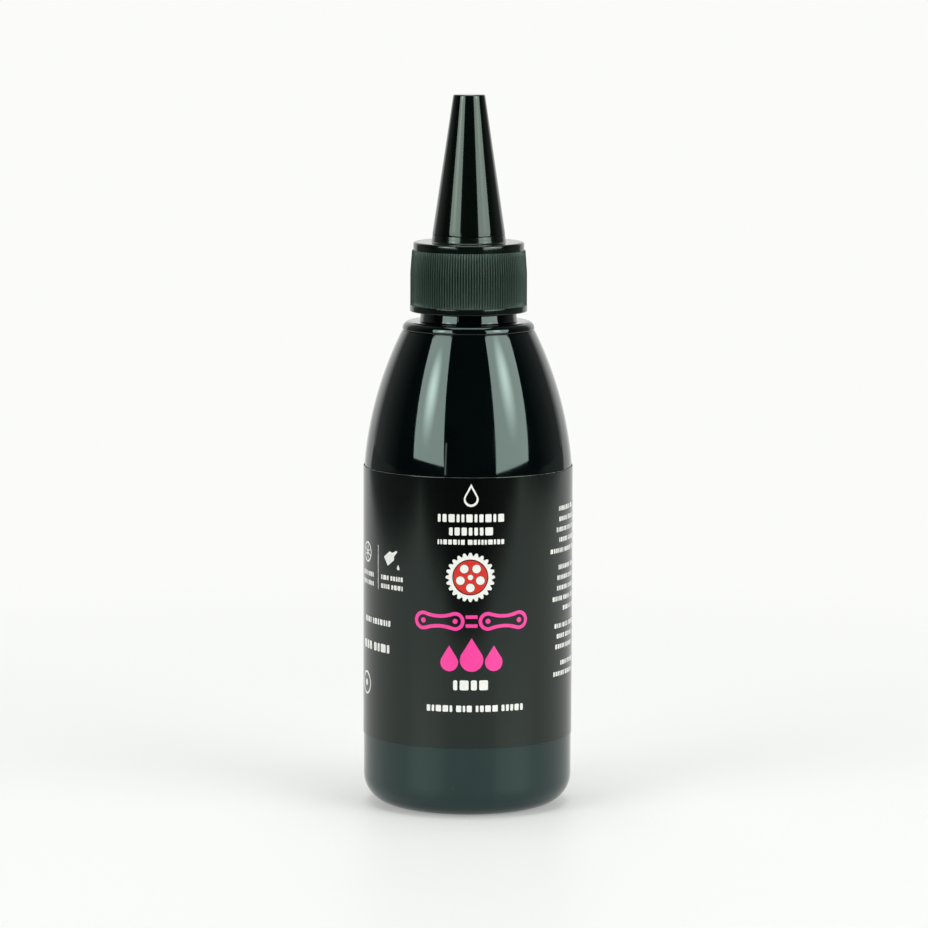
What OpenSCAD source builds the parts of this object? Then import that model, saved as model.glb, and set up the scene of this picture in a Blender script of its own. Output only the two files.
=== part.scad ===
// Squeeze bottle for chain lube: a blown bottle with a wrap label, a ribbed screw cap with a
// pouring spout, a sealing washer under the cap, and a tall conical overcap over the spout.
// The origin is the centre of the base on the surface the bottle stands on, with +Z up.

/* [Bottle body] */
// Outside diameter of the body
body_d = 42.2; // [34:0.1:60]
// Height of the straight side, where the shoulder begins
side_h = 65.7; // [45:0.1:110]
// Thickness of the bottle's wall
wall_t = 1.0; // [0.6:0.05:1.4]
// Radius of the rounded corner at the base
base_corner_r = 5.8; // [3:0.1:8]
// Depth of the hollow under the base
push_up_h = 2.2; // [1:0.1:3.5]
// Width of the flat ring that the bottle stands on
foot_w = 0.9; // [0.5:0.1:2]

/* [Shoulder] */
// Radius that eases the straight side into the shoulder
ease_r = 55; // [30:1:90]
// Lean of the side where the easing curve ends, in degrees
ease_lean = 8; // [4:0.5:12]
// Radius of the long curve of the shoulder
shoulder_r = 75.5; // [60:0.5:100]
// Diameter of the raised rim at the top of the shoulder
rim_d = 26.7; // [24.5:0.1:30]
// Height of the raised rim
rim_h = 1.85; // [1.6:0.05:4]
// Radius of the rim's upper edge
rim_edge_r = 1.4; // [0.5:0.1:1.6]
// Depth of the fine groove under the rim
groove_depth = 0.2; // [0.1:0.05:0.4]

/* [Neck] */
// Height of the neck from the top of the rim to the lip
neck_h = 13.7; // [12.6:0.05:18]
// Diameter of the neck between the threads
neck_d = 17.7; // [16.5:0.1:18.5]
// Diameter of the bore through the neck
neck_bore_d = 14; // [11:0.1:15]
// Diameter of the thicker heel that shows under the cap
heel_d = 19.8; // [19:0.1:20.4]
// Height of that heel
heel_h = 2.2; // [1:0.1:2.4]

/* [Thread] */
// Diameter over the neck's thread
thread_d = 19.7; // [19.2:0.1:20.2]
// Rise of the thread in one turn
thread_pitch = 3.175; // [2.8:0.025:4]
// Turns of the thread
thread_turns = 1.5; // [1:0.25:2]
// Width of the neck's thread at its root
thread_root_w = 2.0; // [1.6:0.05:2.1]
// Width of the neck's thread at its crest
thread_crest_w = 0.9; // [0.5:0.05:1.2]
// Distance from the lip down to where the thread begins
thread_lead = 2.2; // [1.8:0.1:3.5]
// Gap between the two threads, all round
thread_gap = 0.25; // [0.15:0.01:0.35]

/* [Screw cap] */
// Diameter over the smooth band at the bottom of the cap
cap_d = 23.75; // [23.4:0.05:28]
// Diameter of the smooth band at the top of the cap
cap_top_d = 22.4; // [21.6:0.05:23]
// Gap between the bottom of the cap and the rim below it
cap_gap = 2.0; // [1.2:0.05:2.4]
// Thickness of the cap's top
cap_top_t = 1.35; // [1:0.05:2.5]
// Height of the smooth band at the bottom
low_band_h = 1.3; // [0.6:0.1:3]
// Height of the smooth band at the top
top_band_h = 1.65; // [1:0.05:4]
// Number of grip ribs round the cap
rib_count = 132; // [60:4:140]
// How far a rib stands out
rib_depth = 0.25; // [0.1:0.05:0.3]
// How far the ribs lie inside the bottom band
rib_inset = 0.08; // [0:0.01:0.2]
// How far the ribs lean in towards the top of the cap
rib_lean = 0.35; // [0.1:0.05:0.35]
// Thickness of the sealing washer
washer_t = 0.95; // [0.6:0.05:2]
// Diameter of the washer's hole
washer_hole_d = 9; // [7.6:0.1:12]

/* [Spout] */
// Diameter of the boss that carries the overcap
boss_d = 15.05; // [14.8:0.05:17]
// Height of the boss
boss_h = 1.4; // [1:0.05:3]
// Diameter of the ring that the overcap slips over
seat_d = 11.8; // [10.6:0.05:12]
// Height of that ring
seat_h = 2.6; // [1.5:0.1:4]
// Diameter at the foot of the spout
spout_d = 9.4; // [8.6:0.1:9.8]
// Diameter at the tip of the spout
spout_tip_d = 3.1; // [2.7:0.1:3.6]
// Height of the spout above the boss
spout_h = 24.2; // [18:0.1:25]
// Diameter of the channel at the foot of the spout
channel_d = 7.2; // [6:0.1:7.4]
// Diameter of the hole that the lube comes out of
orifice_d = 1.5; // [1.3:0.1:2]
// Length of that hole
orifice_l = 3.6; // [2.5:0.1:5]

/* [Overcap] */
// Diameter at the foot of the overcap
overcap_d = 14.76; // [14.4:0.02:16.6]
// Diameter at the tip, before the edge is rounded
overcap_tip_d = 6.4; // [6:0.1:9]
// Height of the overcap
overcap_h = 28.25; // [27.2:0.05:34]
// Radius of the edge at the tip
overcap_edge_r = 0.35; // [0.2:0.05:0.8]
// Thickness of the overcap's closed end
overcap_end_t = 1.5; // [1:0.1:2]
// Radial slip between the overcap and its seat, and between the pin and the hole it plugs
slip = 0.05; // [0.03:0.01:0.1]
// Length of the pin that stands inside the spout's hole
pin_reach = 2.2; // [1:0.1:2.4]

/* [Label] */
// Thickness of the label film
label_t = 0.15; // [0.08:0.01:0.3]
// Height of the label's lower edge above the ground
label_z = 14.4; // [9:0.1:30]
// How far the label reaches past the straight side on to the shoulder
label_rise = 3.4; // [0:0.1:5]
// Width of the lap where the label's ends meet at the back
label_lap = 6; // [3:0.5:12]

/* [Hidden] */
$fn = 180;

body_r = body_d / 2;
rim_r = rim_d / 2;

function to_micron(size) = round(size * 1000) / 1000;

// The shoulder is two arcs that meet the straight side and each other without a kink
ease_end_r = body_r - ease_r * (1 - cos(ease_lean));
ease_end_z = side_h + ease_r * sin(ease_lean);
shoulder_x = ease_end_r - shoulder_r * cos(ease_lean);
shoulder_z = ease_end_z - shoulder_r * sin(ease_lean);
shoulder_end_lean = acos((rim_r - shoulder_x) / shoulder_r);
shoulder_end_z = to_micron(shoulder_z + shoulder_r * sin(shoulder_end_lean));

rim_top_z = shoulder_end_z + rim_h;
lip_z = rim_top_z + neck_h;
rim_foot_r = 0.4;
// The upper edge's radius gives way where the rim is too low for it
rim_round_r = min(rim_edge_r, rim_h - rim_foot_r - 0.05);
// Depth from the top of the rim down to the roof of the hollow inside it
roof_t = wall_t + 0.3;
roof_corner_r = 0.6;

// The hollow under the base is a shallow spherical cap
foot_in_r = body_r - base_corner_r - foot_w;
push_up_r = (foot_in_r * foot_in_r + push_up_h * push_up_h) / (2 * push_up_h);
pinch_w = 0.6;
pinch_h = 0.25;

cap_bottom_z = rim_top_z + cap_gap;
cap_roof_z = lip_z + washer_t;
cap_top_z = cap_roof_z + cap_top_t;
cap_top_edge_r = 0.45;
cap_bore_d = max(thread_d, heel_d) + 2 * thread_gap;

thread_flank = (thread_root_w - thread_crest_w) / (thread_d - neck_d) * 2;
thread_top_z = lip_z - thread_lead;
thread_rise = thread_pitch * thread_turns;
thread_bed = 0.3;
thread_steps = 36;
thread_fade = 0.09;

rib_top_z = cap_top_z - top_band_h;
rib_bottom_z = cap_bottom_z + low_band_h;
rib_r = cap_d / 2 - rib_inset;
// The grip's upper part leans in on an arc whose centre lies far inside, this far below its top
rib_curve_r = 170;
rib_curve_drop = 15;

boss_z = cap_top_z + boss_h;
boss_fillet_r = 0.3;
boss_edge_r = 0.1;
seat_edge_r = 0.4;
spout_tip_z = boss_z + spout_h;
spout_lip_r = 0.3;
channel_tip_d = orifice_d + 0.5;

overcap_top_z = boss_z + overcap_h;
overcap_bore_d = seat_d + 2 * slip;
overcap_wall_t = (overcap_d - overcap_bore_d) / 2;
overcap_bore_tip_d = overcap_tip_d - 2 * overcap_wall_t * 0.75;
overcap_roof_z = overcap_top_z - overcap_end_t;
pin_d = orifice_d - 2 * slip;
// Clear height over the seat ring and over the spout's tip, inside the overcap
seat_room = 0.4;
tip_room = 0.3;

label_h = side_h + label_rise - label_z;

// Sizes beyond a face, so that cuts pass clean through it
over = 1;

// A rectangle in the half plane of a turned shape, from the axis out to r
module disc_profile(r, z0, z1) {
    translate([0, z0]) square([r, z1 - z0]);
}

// The same, with its outer corner rounded at the top, and at the bottom if wanted
module rounded_disc_profile(r, z0, z1, top_r, bottom_r = 0) {
    disc_profile(r, z0 + bottom_r, z1 - top_r);
    disc_profile(r - top_r, z1 - 2 * top_r, z1);
    translate([r - top_r, z1 - top_r]) circle(top_r);
    if (bottom_r > 0) {
        disc_profile(r - bottom_r, z0, z0 + 2 * bottom_r);
        translate([r - bottom_r, z0 + bottom_r]) circle(bottom_r);
    }
}

// A cone's half section between two radii
module taper_profile(r0, r1, z0, z1) {
    polygon([[0, z0], [r0, z0], [r1, z1], [0, z1]]);
}

// Points along an arc, from angle a0 to angle a1, without the first
function arc_points(x, z, r, a0, a1, steps) =
    [for (i = [1 : steps]) let (a = a0 + (a1 - a0) * i / steps) [x + r * cos(a), z + r * sin(a)]];

// Half section of the bottle's straight side and its corner at the base, less a skin
module side_profile(skin) {
    disc_profile(body_r - skin, base_corner_r, side_h);
    disc_profile(body_r - base_corner_r, skin, side_h);
    translate([body_r - base_corner_r, base_corner_r]) circle(base_corner_r - skin);
}

// Outline of the shoulder from the straight side up to the rim, less a skin
function shoulder_points(skin) = concat(
    [[0, side_h - over], [body_r - skin, side_h - over], [body_r - skin, side_h]],
    arc_points(body_r - ease_r, side_h, ease_r - skin, 0, ease_lean, 8),
    arc_points(shoulder_x, shoulder_z, shoulder_r - skin, ease_lean, shoulder_end_lean, 24)
);

module body_profile() {
    side_profile(0);
    polygon(concat(shoulder_points(0), [[0, shoulder_end_z]]));
}

module rim_profile() {
    rounded_disc_profile(rim_r, shoulder_end_z, rim_top_z, rim_round_r, rim_foot_r);
    disc_profile(rim_r - groove_depth, shoulder_end_z - over, shoulder_end_z + rim_foot_r);
}

module neck_profile() {
    heel_top_z = rim_top_z + heel_h;
    heel_step = (heel_d - neck_d) / 2;
    lip_edge_r = 0.5;
    disc_profile(heel_d / 2, rim_top_z - rim_h / 2, heel_top_z);
    taper_profile(heel_d / 2, neck_d / 2, heel_top_z, heel_top_z + heel_step);
    rounded_disc_profile(neck_d / 2, rim_top_z, lip_z, lip_edge_r);
}

// The hollow inside the body, the rim and the neck
module hollow_profile() {
    roof_z = rim_top_z - roof_t;
    corner_x = rim_r - wall_t * cos(shoulder_end_lean) - roof_corner_r;
    side_profile(wall_t);
    polygon(concat(
        shoulder_points(wall_t),
        [[corner_x + roof_corner_r, roof_z - roof_corner_r]],
        arc_points(corner_x, roof_z - roof_corner_r, roof_corner_r, 0, 90, 6),
        [[0, roof_z]]
    ));
    disc_profile(neck_bore_d / 2, roof_z - over, lip_z + over);
}

// Ball whose upper cap is the hollow under the base
module push_up_ball(extra) {
    translate([0, 0, push_up_h - push_up_r]) sphere(push_up_r + extra, $fn = 240);
}

// The faint bar that the mould's closing edge leaves across the hollow base
module pinch_bar() {
    bar_l = 1.5 * foot_in_r;
    intersection() {
        translate([-bar_l / 2, -pinch_w / 2, 0]) cube([bar_l, pinch_w, push_up_h + wall_t / 2]);
        difference() {
            push_up_ball(wall_t / 2);
            push_up_ball(-pinch_h);
        }
    }
}

// Radius and height of one corner of a ridge's section, faded to nothing at both ends
function fade(t) = min(1, t / thread_fade, (1 - t) / thread_fade);
function ridge_section(bed_r, crest_r, bed_w, crest_w, k) =
    let (edge_r = bed_r + (crest_r - bed_r) * k, edge_w = bed_w + (crest_w - bed_w) * k)
    crest_r > bed_r
        ? [[bed_r, -bed_w / 2], [edge_r, -edge_w / 2], [edge_r, edge_w / 2], [bed_r, bed_w / 2]]
        : [[edge_r, -edge_w / 2], [bed_r, -bed_w / 2], [bed_r, bed_w / 2], [edge_r, edge_w / 2]];

// A ridge wound round the axis: it starts at angle 0 at the given height and rises anticlockwise
module screw_ridge(bed_r, crest_r, bed_w, crest_w, start_z) {
    n = round(thread_turns * thread_steps);
    points = [
        for (i = [0 : n])
            let (t = i / n, a = 360 * thread_turns * t, k = max(0.02, fade(t)))
            for (p = ridge_section(bed_r, crest_r, bed_w, crest_w, k))
                [p[0] * cos(a), p[0] * sin(a), start_z + thread_rise * t + p[1]]
    ];
    sides = [
        for (i = [0 : n - 1], j = [0 : 3])
            let (a = 4 * i + j, b = 4 * i + (j + 1) % 4)
            each [[a, b, b + 4], [a, b + 4, a + 4]]
    ];
    ends = [[3, 2, 1], [3, 1, 0], [4 * n, 4 * n + 1, 4 * n + 2], [4 * n, 4 * n + 2, 4 * n + 3]];
    polyhedron(points = points, faces = concat(sides, ends), convexity = 6);
}

// Width of the neck's thread at a radius
function thread_w(r) = thread_root_w - thread_flank * (r - neck_d / 2);

module neck_thread() {
    bed_r = neck_d / 2 - thread_bed;
    screw_ridge(bed_r, thread_d / 2, thread_w(bed_r), thread_crest_w, thread_top_z - thread_rise);
}

// The cap's ridge lies in the groove between the neck's turns, one gap below the turn above it
module cap_thread() {
    crest_r = neck_d / 2 + thread_gap;
    bed_r = cap_bore_d / 2 + thread_bed;
    crest_w = 0.6 * (thread_pitch - thread_w(crest_r) - 2 * thread_gap);
    bed_w = crest_w + thread_flank * (bed_r - crest_r);
    drop = (thread_w(crest_r) + crest_w) / 2 + thread_gap;
    screw_ridge(bed_r, crest_r, bed_w, crest_w, thread_top_z - thread_rise - drop);
}

module bottle() {
    color("#10201e") {
        difference() {
            union() {
                rotate_extrude() {
                    body_profile();
                    rim_profile();
                    neck_profile();
                }
                neck_thread();
            }
            difference() {
                rotate_extrude() hollow_profile();
                push_up_ball(wall_t);
            }
            push_up_ball(0);
        }
        pinch_bar();
    }
}

// A sleeve of film, with the lap of its two ends at the back
module label() {
    lap_angle = 360 * label_lap / (PI * body_d);
    color("#18191a") {
        rotate_extrude() translate([body_r, label_z]) square([label_t, label_h]);
        rotate([0, 0, 90 - lap_angle / 2])
            rotate_extrude(angle = lap_angle)
                translate([body_r + label_t / 2, label_z]) square([label_t * 1.5, label_h]);
    }
}

module sealing_washer() {
    washer_d = cap_bore_d - 4 * thread_gap;
    color("#d9d6cc")
        translate([0, 0, lip_z])
            difference() {
                cylinder(d = washer_d, h = washer_t);
                translate([0, 0, -over]) cylinder(d = washer_hole_d, h = washer_t + 2 * over);
            }
}

// The grip's wall over its ribs: upright below, and leaning in on a long arc towards the top
module grip_profile() {
    curve_z = rib_top_z - rib_curve_drop;
    curve_x = rib_r - rib_lean - sqrt(rib_curve_r * rib_curve_r - rib_curve_drop * rib_curve_drop);
    intersection() {
        disc_profile(rib_r, rib_bottom_z - low_band_h / 2, rib_top_z);
        translate([curve_x, curve_z]) circle(rib_curve_r, $fn = 720);
    }
}

// V grooves part the grip's ribs: each leans in with the wall, from the bottom band to the top
module grip_grooves() {
    run = rib_top_z - rib_bottom_z;
    lean = atan(rib_lean / run);
    mouth_w = 1.45 * PI * rib_r / rib_count;
    for (i = [0 : rib_count - 1])
        rotate(360 * i / rib_count)
            translate([rib_r - rib_depth, 0, rib_bottom_z])
                rotate([0, -lean, 0])
                    linear_extrude(run / cos(lean))
                        polygon([[0, 0], [2 * rib_depth, -mouth_w], [2 * rib_depth, mouth_w]]);
}

// Outer half section of the cap: bands, the wall that the grip is cut in, boss, seat and spout
module cap_profile() {
    low_edge_r = 0.15;
    rounded_disc_profile(cap_d / 2, cap_bottom_z, rib_bottom_z, low_edge_r, low_edge_r);
    grip_profile();
    rounded_disc_profile(cap_top_d / 2, rib_top_z - over, cap_top_z, cap_top_edge_r);
    boss_profile();
    spout_profile();
}

module boss_profile() {
    foot_r = boss_d / 2 + boss_fillet_r;
    rounded_disc_profile(boss_d / 2, cap_top_z - over, boss_z, boss_edge_r);
    difference() {
        disc_profile(foot_r, cap_top_z - over, cap_top_z + boss_fillet_r);
        translate([foot_r, cap_top_z + boss_fillet_r]) circle(boss_fillet_r);
    }
}

module spout_profile() {
    rounded_disc_profile(seat_d / 2, boss_z - over, boss_z + seat_h, seat_edge_r);
    taper_profile(spout_d / 2, spout_tip_d / 2, boss_z, spout_tip_z - spout_lip_r);
    rounded_disc_profile(spout_tip_d / 2, spout_tip_z - 2 * spout_lip_r, spout_tip_z, spout_lip_r);
}

// The way for the lube: a tapering channel that ends in a narrow hole
module channel_profile() {
    hole_z = spout_tip_z - orifice_l;
    step = (channel_tip_d - orifice_d) / 2;
    disc_profile(channel_d / 2, cap_roof_z - over, cap_top_z);
    taper_profile(channel_d / 2, channel_tip_d / 2, cap_top_z, hole_z - step);
    taper_profile(channel_tip_d / 2, orifice_d / 2, hole_z - step, hole_z);
    disc_profile(orifice_d / 2, hole_z - over / 2, spout_tip_z + over);
}

module skirt_bore_profile() {
    lead_in = 0.5;
    disc_profile(cap_bore_d / 2, cap_bottom_z - over, cap_roof_z);
    taper_profile(cap_bore_d / 2 + lead_in, cap_bore_d / 2, cap_bottom_z, cap_bottom_z + lead_in);
}

module screw_cap() {
    color("#1c2423")
        difference() {
            union() {
                rotate_extrude()
                    difference() {
                        cap_profile();
                        union() {
                            skirt_bore_profile();
                            channel_profile();
                        }
                    }
                cap_thread();
            }
            grip_grooves();
        }
}

module overcap_profile() {
    edge_z = overcap_top_z - overcap_edge_r;
    lean = atan((overcap_d - overcap_tip_d) / 2 / overcap_h);
    edge_x = overcap_tip_d / 2 - overcap_edge_r * (1 - sin(lean)) / cos(lean);
    touch_r = edge_x + overcap_edge_r * cos(lean);
    touch_z = edge_z + overcap_edge_r * sin(lean);
    taper_profile(overcap_d / 2, touch_r, boss_z, touch_z);
    disc_profile(edge_x, edge_z, overcap_top_z);
    translate([edge_x, edge_z]) circle(overcap_edge_r);
}

module overcap_hollow_profile() {
    seat_top_z = boss_z + seat_h + seat_room;
    disc_profile(overcap_bore_d / 2, boss_z - over, seat_top_z);
    taper_profile(overcap_bore_d / 2, overcap_bore_tip_d / 2, seat_top_z, overcap_roof_z);
}

// The pin widens to a stem above the spout's tip
module pin_profile() {
    pin_z = spout_tip_z - pin_reach;
    stem_z = spout_tip_z + tip_room;
    disc_profile(pin_d / 2, pin_z, stem_z + over);
    disc_profile(pin_d, stem_z, overcap_roof_z + over / 2);
}

module overcap() {
    color("#141a1a")
        rotate_extrude() {
            difference() {
                overcap_profile();
                overcap_hollow_profile();
            }
            pin_profile();
        }
}

bottle();
label();
sealing_washer();
screw_cap();
overcap();
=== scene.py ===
"""A chain lube bottle in a plain studio: blown bottle, wrap label, washer, screw cap and overcap.

Sizes are in millimetres, and turn into metres where a mesh, a light or a camera is made.
"""
import logging
import math
import random
from dataclasses import dataclass
from enum import Enum
from typing import Sequence

import bmesh
import bpy
import numpy as np
from mathutils import Matrix, Vector
from mathutils.geometry import tessellate_polygon


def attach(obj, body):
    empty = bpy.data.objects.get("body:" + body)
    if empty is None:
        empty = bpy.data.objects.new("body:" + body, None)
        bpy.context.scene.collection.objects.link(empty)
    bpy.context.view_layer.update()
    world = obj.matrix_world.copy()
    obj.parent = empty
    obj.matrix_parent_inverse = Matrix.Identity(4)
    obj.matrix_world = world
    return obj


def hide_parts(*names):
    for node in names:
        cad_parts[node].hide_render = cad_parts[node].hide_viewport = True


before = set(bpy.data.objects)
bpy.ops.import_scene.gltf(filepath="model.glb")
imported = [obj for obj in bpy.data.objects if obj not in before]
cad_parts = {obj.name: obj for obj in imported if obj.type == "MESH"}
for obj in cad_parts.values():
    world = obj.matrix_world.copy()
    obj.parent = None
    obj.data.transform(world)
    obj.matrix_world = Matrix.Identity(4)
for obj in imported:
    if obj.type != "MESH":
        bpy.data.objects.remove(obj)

Point = tuple[float, float]
Outline = list[Point]
Ring = list[int]
Tree = bpy.types.NodeTree
Source = bpy.types.Node | bpy.types.NodeSocket

MM = 0.001
# A ring smaller than this is a single vertex
NO_RADIUS = 1e-9
# Points whose radii differ by less than this lie on the same upright wall
SAME_RADIUS = 1e-6
# A corner whose half angle is wider than this is straight, so it isn't rounded
STRAIGHT_HALF_DEG = 89.5
# Most of a noise's values lie between these two
MOST_NOISE: Point = (0.3, 0.7)
NOISE_DETAIL = 4.0
NOISE_ROUGHNESS = 0.55
LOG = logging.getLogger("chain_lube_bottle")


# Colour and nodes


def linear(hex_colour: str) -> tuple[float, float, float, float]:
    """Turns an sRGB hex colour into the linear colour that a shader takes.

    Args:
        hex_colour: six hex digits after a hash sign.

    Returns:
        Red, green, blue and an alpha of one.
    """
    channels = [int(hex_colour[i : i + 2], 16) / 255 for i in (1, 3, 5)]
    low, high = [c / 12.92 for c in channels], [((c + 0.055) / 1.055) ** 2.4 for c in channels]
    red, green, blue = (l if c <= 0.04045 else h for c, l, h in zip(channels, low, high))
    return (red, green, blue, 1.0)


def per_metre(feature_mm: float) -> float:
    """Returns the texture scale at which one feature of a pattern is that many millimetres."""
    return 1 / (feature_mm * MM)


def add_node(
    tree: Tree,
    kind: str,
    settings: dict[str | int, object] | None = None,
    links: dict[str | int, Source] | None = None,
) -> bpy.types.Node:
    """Adds a node with its settings and links.

    Args:
        tree: the node tree that gets the node.
        kind: the node's type, less the words that every shader node's type starts with.
        settings: a value for each input, by name or number, or for each property of the node.
        links: what feeds each input, which is a socket, or a node for its first one.

    Returns:
        The new node.
    """
    node = tree.nodes.new("ShaderNode" + kind)
    for name, value in (settings or {}).items():
        if isinstance(name, int) or name in node.inputs:
            node.inputs[name].default_value = value
        else:
            setattr(node, name, value)
    for name, source in (links or {}).items():
        socket = source.outputs[0] if isinstance(source, bpy.types.Node) else source
        tree.links.new(socket, node.inputs[name])
    return node


def empty_material(name: str) -> tuple[bpy.types.Material, Tree]:
    """Makes a material without nodes.

    Args:
        name: the material's name.

    Returns:
        The material and its node tree.
    """
    material = bpy.data.materials.new(name)
    material.use_nodes = True
    material.node_tree.nodes.clear()
    return material, material.node_tree


def pattern(tree: Tree, feature_mm: float, stretch: Sequence[float] = (1, 1, 1)) -> Source:
    """Adds a cloudy noise whose features have a real size.

    Args:
        tree: the node tree that gets it.
        feature_mm: size of one feature.
        stretch: how many times closer the features lie along each axis.

    Returns:
        The noise.
    """
    place = add_node(tree, "TexCoord")
    spread = add_node(tree, "Mapping", {"Scale": stretch}, {"Vector": place.outputs["Object"]})
    settings = {"Scale": per_metre(feature_mm), "Detail": NOISE_DETAIL, "Roughness": NOISE_ROUGHNESS}
    return add_node(tree, "TexNoise", settings, {"Vector": spread})


def cells(tree: Tree, cell_mm: float) -> bpy.types.Node:
    """Adds a pattern of cells of a real size.

    Args:
        tree: the node tree that gets it.
        cell_mm: size of one cell.

    Returns:
        The pattern's node, which gives a distance and a colour for each cell.
    """
    place = add_node(tree, "TexCoord").outputs["Object"]
    return add_node(tree, "TexVoronoi", {"Scale": per_metre(cell_mm)}, {"Vector": place})


def spans(source: Point, result: Point) -> dict[int, float]:
    """Returns the settings that map one span of values to another, held at both ends."""
    return {1: source[0], 2: source[1], 3: result[0], 4: result[1]}


# Finishes


@dataclass(frozen=True, kw_only=True)
class Finish:
    """What the finishes share: two close colours, an even gloss or one that varies, and a fine relief."""

    name: str
    low_hex: str
    high_hex: str
    ior: float
    tint_hex: str = "#ffffff"
    relief_share: float = 0.3
    relief_mm: float = 0.0

    def material(self) -> bpy.types.Material:
        """Makes the material, with its one shader.

        Returns:
            The finished material.
        """
        material, tree = empty_material(self.name)
        shader = add_node(tree, "BsdfPrincipled", self.even(), self.varied(tree))
        add_node(tree, "OutputMaterial", None, {0: shader})
        return material

    def even(self) -> dict[str, object]:
        """Returns what is the same all over, by the shader's inputs."""
        return {"IOR": self.ior, "Specular Tint": linear(self.tint_hex)}

    def varied(self, tree: Tree) -> dict[str, Source]:
        """Returns what varies over the surface, by the shader's inputs."""
        raise NotImplementedError

    def mottle(self, tree: Tree, factor: Source, span: Point = MOST_NOISE) -> Source:
        """Blends the finish's two colours by a pattern.

        Args:
            tree: the node tree that gets the blend.
            factor: the pattern.
            span: the pattern's values at which the first and the second colour are full.

        Returns:
            The blended colour.
        """
        share = add_node(tree, "MapRange", spans(span, (0, 1)), {0: factor})
        colours = {"data_type": "RGBA", 6: linear(self.low_hex), 7: linear(self.high_hex)}
        return add_node(tree, "Mix", colours, {0: share}).outputs[2]

    def relief(self, tree: Tree, height: Source) -> Source:
        """Returns the direction of a surface that a pattern raises by the finish's relief."""
        settings = {"Strength": self.relief_share, "Distance": self.relief_mm * MM}
        return add_node(tree, "Bump", settings, {"Height": height})


@dataclass(frozen=True, kw_only=True)
class BlownPolyethylene(Finish):
    """High-density polyethylene, blown into a polished mould: near black, with a mirror-like skin.

    The eye sees deep reflections with clean edges, a green-black depth, and dust that has settled.
    """

    name: str = "blown_polyethylene"
    low_hex: str = "#020606"
    high_hex: str = "#040a0a"
    ior: float = 1.54
    tint_hex: str = "#dff8f3"
    relief_share: float = 0.35
    relief_mm: float = 0.02
    foot_hex: str = "#072120"
    foot_span: Point = (16.0, 66.0)
    dust_hex: str = "#8f9791"
    cloud_mm: float = 11.0
    ripple_mm: float = 16.0
    ripple_stretch: tuple[float, float, float] = (1, 1, 0.6)
    dust_cell_mm: float = 2.6
    speck_reach: Point = (0.03, 0.05)
    speck_share: float = 0.3
    bare_cells: Point = (0.84, 0.86)
    patch_span: Point = (0.42, 0.75)
    gloss: Point = (0.035, 0.075)

    def varied(self, tree: Tree) -> dict[str, Source]:
        """Adds the wall's depth, its paler foot, the dust, the handled patches and the ripple.

        Args:
            tree: the node tree that gets them.

        Returns:
            What feeds each input of the shader.
        """
        clouds = pattern(tree, self.cloud_mm)
        dust = self.dust(tree)
        colour = self.mottle(tree, clouds)
        # The colour turns paler and greener towards the foot
        place = add_node(tree, "TexCoord").outputs["Object"]
        height = add_node(tree, "SeparateXYZ", None, {0: place}).outputs["Z"]
        low, high = self.foot_span
        near_foot = add_node(tree, "MapRange", spans((low * MM, high * MM), (1, 0)), {0: height})
        for share, hex_colour in ((near_foot, self.foot_hex), (dust, self.dust_hex)):
            layer = {"data_type": "RGBA", 7: linear(hex_colour)}
            colour = add_node(tree, "Mix", layer, {0: share, 6: colour}).outputs[2]
        # Handling leaves slightly duller patches on the polished skin
        sheen = add_node(tree, "MapRange", spans(self.patch_span, self.gloss), {0: clouds})
        rough = add_node(tree, "Math", {"operation": "MAXIMUM"}, {0: sheen, 1: dust})
        ripple = self.relief(tree, pattern(tree, self.ripple_mm, self.ripple_stretch))
        return {"Base Color": colour, "Roughness": rough, "Normal": ripple}

    def dust(self, tree: Tree) -> Source:
        """Adds sparse specks of dust, a tenth of a millimetre across, in a few of the pattern's cells.

        Args:
            tree: the node tree that gets them.

        Returns:
            A value that is high on a speck and zero beside it.
        """
        dust = cells(tree, self.dust_cell_mm).outputs
        fall = spans(self.speck_reach, (self.speck_share, 0))
        speck = add_node(tree, "MapRange", fall, {0: dust["Distance"]})
        lot = add_node(tree, "SeparateColor", None, {0: dust["Color"]})
        drawn = add_node(tree, "MapRange", spans(self.bare_cells, (0, 1)), {0: lot})
        return add_node(tree, "Math", {"operation": "MULTIPLY"}, {0: speck, 1: drawn})


@dataclass(frozen=True, kw_only=True)
class PrintedFilm(Finish):
    """Polypropylene label film, printed black and varnished: a dark, hazy satin.

    The eye sees broad soft reflections in place of the bottle's sharp ones, and a fine grain.
    """

    name: str = "printed_polypropylene_film"
    low_hex: str = "#040504"
    high_hex: str = "#080a09"
    ior: float = 1.5
    tint_hex: str = "#e2f8ee"
    relief_share: float = 0.25
    relief_mm: float = 0.009
    grain_mm: float = 0.35
    grain_stretch: tuple[float, float, float] = (1, 1, 2.5)
    cloud_mm: float = 14.0
    gloss: Point = (0.09, 0.125)

    def varied(self, tree: Tree) -> dict[str, Source]:
        """Adds the ink's grain and the varnish's uneven gloss.

        Args:
            tree: the node tree that gets them.

        Returns:
            What feeds each input of the shader.
        """
        clouds = pattern(tree, self.cloud_mm)
        grain = pattern(tree, self.grain_mm, self.grain_stretch)
        rough = add_node(tree, "MapRange", spans(MOST_NOISE, self.gloss), {0: clouds})
        return {
            "Base Color": self.mottle(tree, grain),
            "Roughness": rough,
            "Normal": self.relief(tree, grain),
        }


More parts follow.
